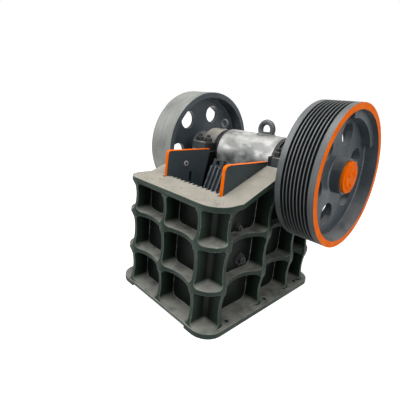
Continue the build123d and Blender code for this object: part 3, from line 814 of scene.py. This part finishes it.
class CoilTree(GeometryTree):
    """Round wire wound into a coil along +Y."""

    name = "Wire coil"
    inputs = (
        GeometryTree.shape_in,
        ("Coils", FLOAT, 8.0),
        ("Radius", FLOAT, 0.04),
        ("Wire", FLOAT, 0.007),
        ("Length", FLOAT, 0.2),
        ("Steps", WHOLE, 28),
        ("Start", "NodeSocketVector", (0.0, 0.0, 0.0)),
        GeometryTree.finish_in,
    )
    wire_sides = 12

    def wire(self, w: Wiring, given: Sockets) -> Sockets:
        """Wire a spiral, a round profile along it and its place."""
        path = w.out("GeometryNodeCurveSpiral", {
            "Resolution": given["Steps"], "Rotations": given["Coils"], "Start Radius": given["Radius"],
            "End Radius": given["Radius"], "Height": given["Length"],
        })
        profile = {"Resolution": self.wire_sides, "Radius": given["Wire"]}
        ring = w.out("GeometryNodeCurvePrimitiveCircle", profile)
        coil = w.out("GeometryNodeCurveToMesh", {0: path, 1: ring, "Fill Caps": True})
        smooth = w.out("GeometryNodeSetShadeSmooth", {0: coil})
        lay = {"Geometry": smooth, "Translation": given["Start"], "Rotation": (-math.pi / 2, 0, 0)}
        return self.painted(w, given, w.out("GeometryNodeTransform", lay))


class BeadTree(GeometryTree):
    """Uneven bead of paint and grit that fills inner corners along edges."""

    name = "Corner beads"
    inputs = (
        GeometryTree.shape_in,
        ("Radius", FLOAT, 0.005),
        ("Step", FLOAT, 0.012),
        ("Lump size", FLOAT, 22.0),
        ("Thin", FLOAT, 0.25),
        ("Seed", FLOAT, 3.0),
        GeometryTree.finish_in,
    )
    bead_sides = 6
    lump_range: Range = (0.35, 0.65)

    def wire(self, w: Wiring, given: Sockets) -> Sockets:
        """Wire a curve along the edges and a round profile that noise thins and swells."""
        path = w.out("GeometryNodeMeshToCurve", {0: given["Geometry"]})
        even = w.out("GeometryNodeResampleCurve", {"Curve": path, "Length": given["Step"]}, mode="LENGTH")
        lumps = {"W": given["Seed"], "Scale": given["Lump size"]}
        lump = w.out("ShaderNodeTexNoise", lumps, noise_dimensions="4D")
        low, high = self.lump_range
        share = w.out("ShaderNodeMapRange", {
            "Value": lump, "From Min": low, "From Max": high, "To Min": given["Thin"], "To Max": 1.0,
        })
        profile = {"Resolution": self.bead_sides, "Radius": given["Radius"]}
        ring = w.out("GeometryNodeCurvePrimitiveCircle", profile)
        bead = w.out("GeometryNodeCurveToMesh", {0: even, 1: ring, "Scale": share, "Fill Caps": True})
        return self.painted(w, given, w.out("GeometryNodeSetShadeSmooth", {0: bead}))


class GritTree(GeometryTree):
    """Small flat crumbs strewn over faces."""

    name = "Strewn grit"
    inputs = (
        GeometryTree.shape_in,
        ("Density", FLOAT, 800.0),
        ("Smallest", FLOAT, 0.001),
        ("Largest", FLOAT, 0.008),
        ("Flat", FLOAT, 0.45),
        ("Clump", FLOAT, 9.0),
        ("Seed", WHOLE, 5),
        GeometryTree.finish_in,
    )
    clump_range: Range = (0.48, 0.66)

    def wire(self, w: Wiring, given: Sockets) -> Sockets:
        """Wire points in clumps and a flattened crumb of random size and turn on each."""
        clump = w.band(w.out("ShaderNodeTexNoise", {"Scale": given["Clump"]}), *self.clump_range)
        density = w.times(clump, given["Density"])
        strewn = {"Mesh": given["Geometry"], "Density": density, "Seed": given["Seed"]}
        points = w.node("GeometryNodeDistributePointsOnFaces", strewn).outputs["Points"]
        crumb = w.out("GeometryNodeMeshIcoSphere", {"Radius": 1.0, "Subdivisions": 1})
        span = {2: given["Smallest"], 3: given["Largest"], "Seed": given["Seed"]}
        size = w.node("FunctionNodeRandomValue", span).outputs[1]
        scale = {"X": size, "Y": size, "Z": w.times(size, given["Flat"])}
        turn = w.node("FunctionNodeRandomValue", {2: 0.0, 3: math.tau, "Seed": given["Seed"]}).outputs[1]
        return self.painted(w, given, w.out("GeometryNodeInstanceOnPoints", {
            "Points": points, "Instance": crumb, "Scale": w.out("ShaderNodeCombineXYZ", scale),
            "Rotation": w.out("FunctionNodeAxisAngleToRotation", {"Axis": UP, "Angle": turn}),
        }))


NUT = HexTree()
COIL = CoilTree()
BEAD = BeadTree()
GRIT = GritTree()


@dataclass
class RoundedEdges:
    """Picks the edges of a CAD node that are rounded: sharp ones that no touching piece covers."""

    node: str
    width: float
    touching: Sequence[str] = ()
    only: Callable[[Vector], bool] | None = None
    sharp: float = math.radians(32)
    faint: float = math.radians(7)
    straight: float = math.radians(24)
    seam_gap: float = 1.5e-4

    def welded(self) -> bmesh.types.BMesh:
        """Copy the node's mesh with its triangles joined into flat faces.

        Returns:
            The copy, which the caller frees.
        """
        copy = bmesh.new()
        copy.from_mesh(frame["nodes"][self.node].data)
        bmesh.ops.remove_doubles(copy, verts=copy.verts, dist=WELD_GAP)
        bmesh.ops.dissolve_limit(
            copy, angle_limit=FLAT_ANGLE, verts=[], edges=copy.edges, delimit={"MATERIAL"},
        )
        return copy

    def on_seam(self, edge: Edge, trees: Sequence[BVHTree]) -> bool:
        """Tell whether an edge lies on the surface of a touching piece."""
        middle = (edge.verts[0].co + edge.verts[1].co) / 2
        return any(tree.find_nearest(middle, self.seam_gap)[3] is not None for tree in trees)

    @staticmethod
    def bend(edge: Edge, other: Edge, corner: bmesh.types.BMVert) -> float:
        """Return the angle by which a path turns from one edge to another at their corner."""
        arrive = corner.co - edge.other_vert(corner).co
        return arrive.angle(other.other_vert(corner).co - corner.co, 0.0)

    def ends_badly(self, edge: Edge, picked: set[Edge]) -> bool:
        """Tell whether a rounding would overshoot.

        Args:
            edge: The edge to round.
            picked: All edges to round.

        Returns:
            Whether it ends at a narrow corner, or along an unrounded edge close beside it.
        """
        for corner in edge.verts:
            for face in edge.link_faces:
                for other in corner.link_edges:
                    if other is edge or face not in other.link_faces:
                        continue
                    turn = self.bend(edge, other, corner)
                    close = math.sin(turn) * other.calc_length() < self.width
                    if turn > math.pi - self.straight or (other not in picked and close):
                        return True
        return False

    def pick(self) -> tuple[bmesh.types.BMesh, set[Edge]]:
        """Pick sharp edges, carry them on along fainter ones, and drop runs that end badly.

        Returns:
            The welded copy and the picked edges of it.
        """
        copy = self.welded()
        trees = []
        for name in self.touching:
            mesh = frame["nodes"][name].data
            corners = [v.co for v in mesh.vertices]
            trees.append(BVHTree.FromPolygons(corners, [f.vertices for f in mesh.polygons]))
        angles = {e: e.calc_face_angle(0.0) for e in copy.edges if len(e.link_faces) == 2}
        free = {e for e, angle in angles.items() if angle > self.faint and not self.on_seam(e, trees)}
        if self.only:
            free = {e for e in free if all(self.only(v.co) for v in e.verts)}
        fresh = {e for e in free if angles[e] > self.sharp}
        picked = set(fresh)
        while fresh:
            fresh = {
                other
                for edge in fresh for corner in edge.verts for other in corner.link_edges
                if other in free and other not in picked and self.bend(edge, other, corner) < self.straight
            }
            picked |= fresh
        while bad := {e for e in picked if self.ends_badly(e, picked)}:
            picked -= bad
        return copy, picked

    def mark(self) -> None:
        """Give the picked edges of the CAD mesh a bevel weight of 1, and shade the other sharp ones hard."""
        copy, picked = self.pick()
        crisp = {e for e in copy.edges if e not in picked and e.calc_face_angle(0.0) > self.sharp}
        copy.verts.index_update()
        finder = KDTree(len(copy.verts))
        for vert in copy.verts:
            finder.insert(vert.co, vert.index)
        finder.balance()
        soft, hard = ({frozenset(v.index for v in e.verts) for e in group} for group in (picked, crisp))
        mesh = frame["nodes"][self.node].data
        twin = [finder.find(v.co)[1] for v in mesh.vertices]
        ends = [frozenset(twin[v] for v in edge.vertices) for edge in mesh.edges]
        weights = mesh.attributes.new("bevel_weight_edge", "FLOAT", "EDGE")
        weights.data.foreach_set("value", [float(pair in soft) for pair in ends])
        for edge, pair in zip(mesh.edges, ends):
            edge.use_edge_sharp = pair in hard
        LOG.info("rounded %d of %d edges of %s", len(soft), len(copy.edges), self.node)
        copy.free()


def dress(
    node: str, finishes: Sequence[Finish], choose: Callable[[Vector, Vector], Finish | None] | None = None,
    bevel: float = 0.0, edge: Finish | None = None, touching: Sequence[str] = (),
    only: Callable[[Vector], bool] | None = None,
) -> None:
    """Give a CAD node its finishes and round its edges without touching its shape.

    Args:
        node: Name of the CAD node.
        finishes: Finishes of its material slots, in order.
        choose: Picks a finish from a face's middle and normal; it gives None for the first.
        bevel: Radius of the rounded edges, 0 for none.
        edge: Finish of the rounded edges, or None to keep their neighbours' finishes.
        touching: Nodes that cover this one's edges where they meet it.
        only: Tells which corners may be rounded, or None for all.
    """
    obj = frame["nodes"][node]
    mesh = obj.data
    mesh.materials.clear()
    for finish in finishes:
        mesh.materials.append(finish.material())
    slots = {finish.name: slot for slot, finish in enumerate(finishes)}
    for face in mesh.polygons:
        chosen = choose(face.center, face.normal) if choose else None
        face.material_index = slots[chosen.name] if chosen else 0
        face.use_smooth = True
    if mesh.attributes.get("custom_normal"):
        mesh.attributes.remove(mesh.attributes["custom_normal"])
    weld = obj.modifiers.new("Weld", "WELD")
    weld.merge_threshold = WELD_GAP
    if bevel:
        RoundedEdges(node, bevel, touching, only).mark()
        planar = obj.modifiers.new("Planar", "DECIMATE")
        planar.decimate_type = "DISSOLVE"
        planar.angle_limit = FLAT_ANGLE
        planar.delimit = {"MATERIAL"}
        rounding = obj.modifiers.new("Rounding", "BEVEL")
        rounding.width = bevel
        rounding.segments = ROUNDING_STEPS
        rounding.limit_method = "WEIGHT"
        rounding.use_clamp_overlap = False
        rounding.harden_normals = True
        if edge:
            rounding.material = slots[edge.name]
    else:
        crease = obj.modifiers.new("Crease", "EDGE_SPLIT")
        crease.split_angle = CREASE_ANGLE
        crease.use_edge_sharp = False
    LOG.info("dressed %s with %s", node, ", ".join(slots))


def ring_of_spots(side: int, face: float, radius: float, count: int, start: float) -> list[Spot]:
    """Space fasteners evenly round the shaft on a face that looks along it.

    Args:
        side: 1 for a face that looks to +X, -1 for one that looks to -X.
        face: Distance of the face from the middle of the machine.
        radius: Radius of the bolt circle.
        count: Number of fasteners.
        start: Angle of the first, in radians.

    Returns:
        The fasteners' spots.
    """
    spots = []
    for number in range(count):
        turn = start + number * math.tau / count
        place = (side * face, SHAFT_Y + radius * math.cos(turn), SHAFT_Z + radius * math.sin(turn))
        spots.append(Spot(place, (side, 0, 0)))
    return spots


@dataclass
class CastFrame:
    """The four ribbed castings of the frame and the wear plates inside them."""

    castings: Sequence[str] = (
        "front_wall", "rear_wall", "right_wall", "left_wall", "right_ribs", "left_ribs",
    )
    edge_radius: float = 0.0035
    jaw_radius: float = 0.003
    dusty_level: float = 0.86
    upright: float = 0.6
    sideways: float = 0.5
    cheek_front: float = -0.462
    cheek_top: float = 1.146
    cheek_rim: float = 0.007
    rim_reach: float = 0.012
    wall_out: float = 0.378
    wall_front: float = -0.570
    wall_rear: float = 0.550
    wall_gap: float = WELD_GAP * 10
    base_top: float = 0.040
    base_slack: float = 1e-3
    bead_bend: float = math.radians(20)
    flange_top: float = 0.931
    flange_front: float = -0.700
    flange_back: float = -0.560
    flange_half: float = 0.470
    square_at: Range = (-0.249, 0.416)
    square_nut: HexSize = HexSize(0.055, 0.030, 0.062, 0.014, 0.014, 0.012, 4)
    round_at: Range = (-0.315, 0.690)
    round_nut: HexSize = HexSize(0.046, 0.026, 0.034, 0.006, 0.012, 0.010)
    left_cheek: float = -0.300
    left_at: Range = (-0.263, 1.028)
    left_washer: HexSize = HexSize(0.010, 0.001, 0.023, 0.005)
    left_bolt: HexSize = HexSize(0.022, 0.010)

    def flange_or_paint(self, middle: Vector, normal: Vector) -> Finish | None:
        """Pick the dusty finish for the upward faces of the top flanges."""
        return FLANGE_DUST if middle.z > self.dusty_level and normal.z > self.upright else None

    def on_rim(self, place: Vector) -> bool:
        """Tell whether a place lies on a cheek plate's front or top edge, or on the corner between them."""
        return place.y < self.cheek_front + self.rim_reach or place.z > self.cheek_top - self.rim_reach

    def edge_or_face(self, middle: Vector, normal: Vector) -> Finish | None:
        """Pick the orange finish for a cheek plate's front and top edges, and a black one in its slot."""
        across = ORANGE_PAINT if self.on_rim(middle) else SEAL_BLACK
        return None if abs(normal.x) > self.sideways else across

    def build(self) -> None:
        """Dress the castings, the jaw plate and the cheek plates, and add what lies on them."""
        names = [f"frame_{casting}" for casting in self.castings]
        for name in names:
            finishes = [FRAME_PAINT, FLANGE_DUST, FRAME_EDGE]
            others = [other for other in (*names, "fixed_jaw_plate") if other != name]
            dress(name, finishes, self.flange_or_paint, self.edge_radius, FRAME_EDGE, others)
        jaw_finishes = [JAW_STEEL, FLANGE_DUST]
        dress("fixed_jaw_plate", jaw_finishes, self.flange_or_paint, self.jaw_radius, touching=names)
        for side in SIDES:
            finishes = [PLATE_PAINT, ORANGE_PAINT, SEAL_BLACK]
            node = f"{side}_cheek_plate"
            dress(node, finishes, self.edge_or_face, self.cheek_rim, ORANGE_PAINT, only=self.on_rim)
        self.wall_bolts()
        self.beads()
        self.grit()

    def wall_bolts(self) -> None:
        """Put the cheek plates' bolts through the side walls, and one through the left cheek."""
        nuts = {"square": (self.square_at, self.square_nut), "round": (self.round_at, self.round_nut)}
        for shape, (place, size) in nuts.items():
            spots = [Spot((side * self.wall_out, *place), (side, 0, 0)) for side in SIDES.values()]
            NUT.make(f"cheek_nuts_{shape}", spots, Body.FRAME, BOLT_BLACK, size.inputs())
        spots = [Spot((self.left_cheek, *self.left_at), (1, 0, 0))]
        NUT.make("left_cheek_washer", spots, Body.FRAME, BOLT_PALE, self.left_washer.inputs())
        NUT.make("left_cheek_bolt", spots, Body.FRAME, BOLT_BLACK, self.left_bolt.inputs())

    def inner_corners(self, node: str, axis: int, plane: float, concave: bool) -> list[tuple[Point, Point]]:
        """Find the ends of a casting's edges where its ribs and shelves meet a wall.

        Args:
            node: Name of the casting.
            axis: Axis that the wall's face is square to, 0 for X and 1 for Y.
            plane: Place of the wall's face on that axis.
            concave: Whether the wall is part of the casting, so that the corners are its concave edges.

        Returns:
            The two ends of each edge.
        """
        copy = RoundedEdges(node, self.edge_radius).welded()
        lowest = self.base_top - self.base_slack
        found = []
        for edge in copy.edges:
            on_wall = all(abs(v.co[axis] - plane) < self.wall_gap and v.co.z > lowest for v in edge.verts)
            bent = not edge.is_convex and edge.calc_face_angle(0.0) > self.bead_bend
            if on_wall and (bent or not concave):
                found.append(tuple(tuple(v.co) for v in edge.verts))
        copy.free()
        return found

    def beads(self) -> None:
        """Lay pale beads in the inner corners of the cells: grit, lightened as a painted highlight along the
        corners.
        """
        ends = self.inner_corners("frame_front_wall", 1, self.wall_front, True)
        ends += self.inner_corners("frame_rear_wall", 1, self.wall_rear, True)
        for side, sign in SIDES.items():
            ends += self.inner_corners(f"frame_{side}_ribs", 0, sign * self.wall_out, False)
        places = dict.fromkeys(place for pair in ends for place in pair)
        number = {place: count for count, place in enumerate(places)}
        edges = [(number[first], number[second]) for first, second in ends]
        BEAD.make("corner_beads", [Spot(place) for place in places], Body.FRAME, BEAD_GRIT_AND_HIGHLIGHT, edges=edges)

    def grit(self) -> None:
        """Strew grit on the front flange."""
        half, front, back = self.flange_half, self.flange_front, self.flange_back
        corners = ((-half, front), (half, front), (half, back), (-half, back))
        spots = [Spot((*corner, self.flange_top)) for corner in corners]
        GRIT.make("flange_grit", spots, Body.FRAME, GRIT_DARK, faces=[range(len(spots))])


@dataclass
class Wheels:
    """The grooved drive pulley and the plain flywheel with their hubs."""

    rim_radius: float = 0.536
    rim_end: float = 0.866
    rim_face: float = 0.001
    rim_skin: float = 0.003
    outward: float = 0.9
    flat_end: float = 0.99
    level: float = 0.1
    groove_depth: float = 0.028
    groove_start: float = 0.01
    web_middle: float = 0.733
    web_reach: float = 0.036
    fillet_low: float = 0.15
    fillet_high: float = 0.97
    edge_radius: float = 0.004
    plate_radius: float = 0.002
    plate_end: float = 0.870
    plate_bolt_circle: float = 0.050
    plate_bolts: int = 3
    plate_bolt_start: float = 0.6
    plate_bolt: HexSize = HexSize(0.030, 0.009)

    @staticmethod
    def radius_at(place: Vector) -> float:
        """Return a place's distance from the shaft's axis."""
        return math.hypot(place.y - SHAFT_Y, place.z - SHAFT_Z)

    def on_tread(self, middle: Vector, normal: Vector) -> bool:
        """Tell whether a face lies on the outside of a wheel's rim."""
        return self.radius_at(middle) > self.rim_radius - self.rim_skin and abs(normal.x) < self.level

    def fillet_or_paint(self, middle: Vector, normal: Vector) -> Finish | None:
        """Pick the worn finish for the small fillets at the edges of a wheel's web."""
        near = abs(abs(middle.x) - self.web_middle) < self.web_reach
        return WHEEL_EDGE if near and self.fillet_low < abs(normal.x) < self.fillet_high else None

    def pulley_finish(self, middle: Vector, normal: Vector) -> Finish | None:
        """Pick a pulley face's finish from its distance to the axis and where it looks.

        Args:
            middle: The face's middle.
            normal: The face's normal.

        Returns:
            The finish, or None for the wheel's paint.
        """
        if normal.x > self.outward and middle.x > self.rim_end - self.rim_face:
            return ORANGE_PAINT
        if abs(normal.x) > self.flat_end:
            return None
        if self.on_tread(middle, normal):
            return LAND_STEEL
        grooved = middle.x < self.rim_end - self.groove_start
        if grooved and self.radius_at(middle) > self.rim_radius - self.groove_depth:
            return GROOVE_PAINT
        return self.fillet_or_paint(middle, normal)

    def flywheel_finish(self, middle: Vector, normal: Vector) -> Finish | None:
        """Pick a flywheel face's finish: machined on the outside of the rim, painted inside."""
        return RIM_STEEL if self.on_tread(middle, normal) else self.fillet_or_paint(middle, normal)

    def build(self) -> None:
        """Dress both wheels, their weights and end plates."""
        pulley = [WHEEL_PAINT, ORANGE_PAINT, LAND_STEEL, GROOVE_PAINT, WHEEL_EDGE]
        dress("drive_pulley", pulley, self.pulley_finish)
        dress("flywheel", [WHEEL_PAINT, RIM_STEEL, WHEEL_EDGE], self.flywheel_finish)
        for wheel in ("drive_pulley", "flywheel"):
            dress(f"{wheel}_counterweight", [WHEEL_PAINT], bevel=self.edge_radius)
            dress(f"{wheel}_end_plate", [ORANGE_PAINT], bevel=self.plate_radius)
        dress("eccentric_shaft", [SHAFT_STEEL])
        circle = (self.plate_end, self.plate_bolt_circle, self.plate_bolts, self.plate_bolt_start)
        spots = [spot for side in SIDES.values() for spot in ring_of_spots(side, *circle)]
        NUT.make("end_plate_bolts", spots, Body.DRIVE, ORANGE_PAINT, self.plate_bolt.inputs())


@dataclass
class SwingJaw:
    """The pitman, its jaw plate, eyebolt, toggle seat and tension rod."""

    edge_radius: float = 0.004
    jaw_radius: float = 0.003
    plate_radius: float = 0.002
    coils: float = 8.0
    spring_wire: float = 0.007
    thread_wire: float = 0.0016
    thread_pitch: float = 0.004

    def build(self) -> None:
        """Dress the swinging pieces."""
        dress("pitman", [PITMAN_SILVER], bevel=self.edge_radius)
        for side in SIDES:
            dress(f"{side}_pitman_ring", [SEAL_BLACK, FORGED], bevel=self.edge_radius, edge=FORGED)
            dress(f"{side}_jaw_lug", [JAW_STEEL], bevel=self.jaw_radius)
        dress("pitman_eyebolt", [FORGED])
        dress("swing_jaw_plate", [JAW_STEEL, JAW_EDGE], bevel=self.jaw_radius, edge=JAW_EDGE)
        for node in ("front_toggle_seat", "spring_front_plate", "spring_rear_plate"):
            dress(node, [TOGGLE_IRON], bevel=self.plate_radius)
        dress("tension_rod", [SHAFT_STEEL])
        self.rod_fittings()

    def rod_fittings(self) -> None:
        """Wind the tension spring, put on the rod's nut and cut its thread."""
        low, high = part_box("tension_spring")
        spring = COIL.make("spring_coil", [], Body.JAW, TOGGLE_IRON, {
            "Coils": self.coils, "Radius": high.x - self.spring_wire, "Wire": self.spring_wire,
            "Length": high.y - low.y - 2 * self.spring_wire,
            "Start": (0, low.y + self.spring_wire, (low.z + high.z) / 2),
        })
        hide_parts("tension_spring")
        low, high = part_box("tension_rod_nut")
        rod_z = (low.z + high.z) / 2
        spots = [Spot((0, low.y, rod_z), (0, 1, 0))]
        size = HexSize(high.x * math.sqrt(3), high.y - low.y)
        nut = NUT.make("rod_hex_nut", spots, Body.JAW, BOLT_BLACK, size.inputs())
        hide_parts("tension_rod_nut")
        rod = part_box("tension_rod")[1]
        start = high.y + self.thread_wire
        COIL.make("rod_thread", [], Body.JAW, SHAFT_STEEL, {
            "Coils": (rod.y - start) / self.thread_pitch, "Radius": rod.x - self.thread_wire / 2,
            "Wire": self.thread_wire, "Length": rod.y - start - self.thread_wire, "Start": (0, start, rod_z),
        })


@dataclass
class Bearings:
    """The main bearing housings on the side walls, and the toggle behind the jaw."""

    edge_radius: float = 0.006
    plate_radius: float = 0.003
    ear_top: float = 1.191
    ear_bolt_y: float = 0.245
    ear_bolt_x: Range = (0.383, 0.492)
    ear_nut: HexSize = HexSize(0.060, 0.036, 0.044, 0.007, 0.019, 0.024)
    cover_face: float = 0.563
    cover_bolt_circle: float = 0.118
    cover_bolts: int = 6
    cover_bolt_start: float = 0.3
    cover_bolt: HexSize = HexSize(0.024, 0.010)

    def bolts(self) -> None:
        """Put the nuts on the caps' ears and the bolts in the covers."""
        circle = (self.cover_face, self.cover_bolt_circle, self.cover_bolts, self.cover_bolt_start)
        ears, covers = [], []
        for side in SIDES.values():
            for x in self.ear_bolt_x:
                for reach in (-self.ear_bolt_y, self.ear_bolt_y):
                    ears.append(Spot((side * x, SHAFT_Y + reach, self.ear_top)))
            covers += ring_of_spots(side, *circle)
        NUT.make("cap_nuts", ears, Body.FRAME, BOLT_BLACK, self.ear_nut.inputs())
        NUT.make("cover_bolts", covers, Body.FRAME, BOLT_BLACK, self.cover_bolt.inputs())

    def build(self) -> None:
        """Dress the caps, covers and eyebolts, and the fixed toggle pieces."""
        self.bolts()
        for side in SIDES:
            dress(f"{side}_bearing_cap", [CAP_PAINT], bevel=self.edge_radius)
            dress(f"{side}_bearing_cover", [HOUSING_PAINT], bevel=self.plate_radius)
            dress(f"{side}_cap_eyebolt", [FORGED])
        for node in ("toggle_plate", "rear_toggle_seat", "adjusting_shims"):
            dress(node, [TOGGLE_IRON], bevel=self.plate_radius)


@dataclass(frozen=True)
class Lamp:
    """A large soft lamp: its name, place, the point that it looks at, its size and power."""

    name: str
    place: Point
    aim: Point
    size: float
    power: float

    def hang(self) -> None:
        """Hang the lamp in the scene."""
        light = bpy.data.lights.new(self.name, "AREA")
        light.shape = "SQUARE"
        light.size = self.size
        light.energy = self.power
        obj = put_in_scene(self.name, light)
        obj.location = self.place
        obj.rotation_mode = "QUATERNION"
        obj.rotation_quaternion = (Vector(self.aim) - Vector(self.place)).to_track_quat("-Z", "Y")


@dataclass
class Studio:
    """Pale floor, soft light and the photograph's camera."""

    camera_at: Point = (1.7464, -2.0819, 1.5453)
    yaw: float = 44.87
    pitch: float = -13.81
    roll: float = 5.47
    focal_pixels: float = 323.6
    centre_pixel: Range = (203.7, 182.4)
    sensor: float = 36.0
    sight: Range = (0.05, 200.0)
    floor_half: float = 60.0
    floor_colour: Colour = srgb(196, 196, 194)
    floor_glow: float = 0.80
    floor_fade: Range = (1.2, 3.6)
    sky_colour: Colour = (0.92, 0.96, 1.0, 1)
    sky_strength: float = 0.34
    lamps: Sequence[Lamp] = (
        Lamp("roof_light", (-0.4, -2.0, 5.0), (0, -0.2, 0.6), 4.5, 310),
        Lamp("left_light", (-3.6, -3.8, 3.6), (0, -0.1, 0.8), 2.8, 40),
        Lamp("right_light", (5.0, -1.6, 3.6), (0.4, 0.1, 0.9), 2.6, 120),
        Lamp("rear_light", (0.6, 5.0, 3.4), (0, 0.2, 0.7), 3.0, 70),
    )

    def camera(self) -> None:
        """Make the camera that looks at the machine as the photograph does."""
        lens = bpy.data.cameras.new("camera")
        lens.sensor_width = self.sensor
        lens.lens = self.sensor * self.focal_pixels / PHOTO_PIXELS
        lens.shift_x = 0.5 - self.centre_pixel[0] / PHOTO_PIXELS
        lens.shift_y = self.centre_pixel[1] / PHOTO_PIXELS - 0.5
        lens.clip_start, lens.clip_end = self.sight
        yaw, pitch, roll = (math.radians(angle) for angle in (self.yaw, self.pitch, self.roll))
        ahead = Vector((-math.sin(yaw) * math.cos(pitch), math.cos(yaw) * math.cos(pitch), math.sin(pitch)))
        level = Vector((math.cos(yaw), math.sin(yaw), 0))
        rise = level.cross(ahead)
        right = level * math.cos(roll) + rise * math.sin(roll)
        up = rise * math.cos(roll) - level * math.sin(roll)
        turn = Matrix((right, up, -ahead)).transposed().to_4x4()
        obj = put_in_scene("camera", lens)
        obj.matrix_world = Matrix.Translation(self.camera_at) @ turn
        bpy.context.scene.camera = obj

    @staticmethod
    def sees_background(w: Wiring) -> Socket:
        """Return 1 for the rays that show the background: to the camera, through glass and off metal.

        Args:
            w: Wiring of the floor or the world.

        Returns:
            The mask.
        """
        path = w.node("ShaderNodeLightPath").outputs
        clear = w.math("MAXIMUM", path["Is Camera Ray"], path["Is Transmission Ray"])
        return w.math("MAXIMUM", clear, path["Is Glossy Ray"])

    def floor(self) -> None:
        """Lay a pale floor that shows near white and keeps the machine's shadow."""
        half = self.floor_half
        mesh = bpy.data.meshes.new("floor")
        corners = [(-half, -half, 0), (half, -half, 0), (half, half, 0), (-half, half, 0)]
        mesh.from_pydata(corners, [], [range(len(corners))])
        made = bpy.data.materials.new("pale_floor")
        w = wiring_of(made)
        matt = w.node("ShaderNodeBsdfDiffuse", {"Color": self.floor_colour})
        reach = w.node("ShaderNodeVectorMath", {0: w.place()}, operation="LENGTH").outputs["Value"]
        level = w.plus(w.times(w.band(reach, *self.floor_fade), 1 - self.floor_glow), self.floor_glow)
        lift = w.times(self.sees_background(w), level)
        glow = w.node("ShaderNodeEmission", {"Color": WHITE, "Strength": lift})
        total = w.node("ShaderNodeAddShader", {0: matt.outputs[0], 1: glow.outputs[0]})
        w.node("ShaderNodeOutputMaterial", {"Surface": total.outputs[0]})
        mesh.materials.append(made)
        put_in_scene("floor", mesh)

    def world(self) -> None:
        """Surround the machine with soft grey light that the camera sees as white."""
        world = bpy.context.scene.world = bpy.data.worlds.new("studio")
        w = wiring_of(world)
        soft = w.node("ShaderNodeBackground", {"Color": self.sky_colour, "Strength": self.sky_strength})
        white = w.node("ShaderNodeBackground", {"Color": WHITE, "Strength": 1.0})
        shades = {0: self.sees_background(w), 1: soft.outputs[0], 2: white.outputs[0]}
        blend = w.node("ShaderNodeMixShader", shades)
        w.node("ShaderNodeOutputWorld", {"Surface": blend.outputs[0]})

    def build(self) -> None:
        """Set the view transform and make the floor, light and camera."""
        bpy.context.scene.view_settings.view_transform = "Standard"
        self.floor()
        self.world()
        for lamp in self.lamps:
            lamp.hang()
        self.camera()


def main() -> None:
    """Dress the machine and light it."""
    logging.basicConfig(level=logging.INFO)
    for assembly in (CastFrame(), Wheels(), SwingJaw(), Bearings(), Studio()):
        assembly.build()
        LOG.info("built %s", type(assembly).__name__)


if __name__ == "__main__":
    main()
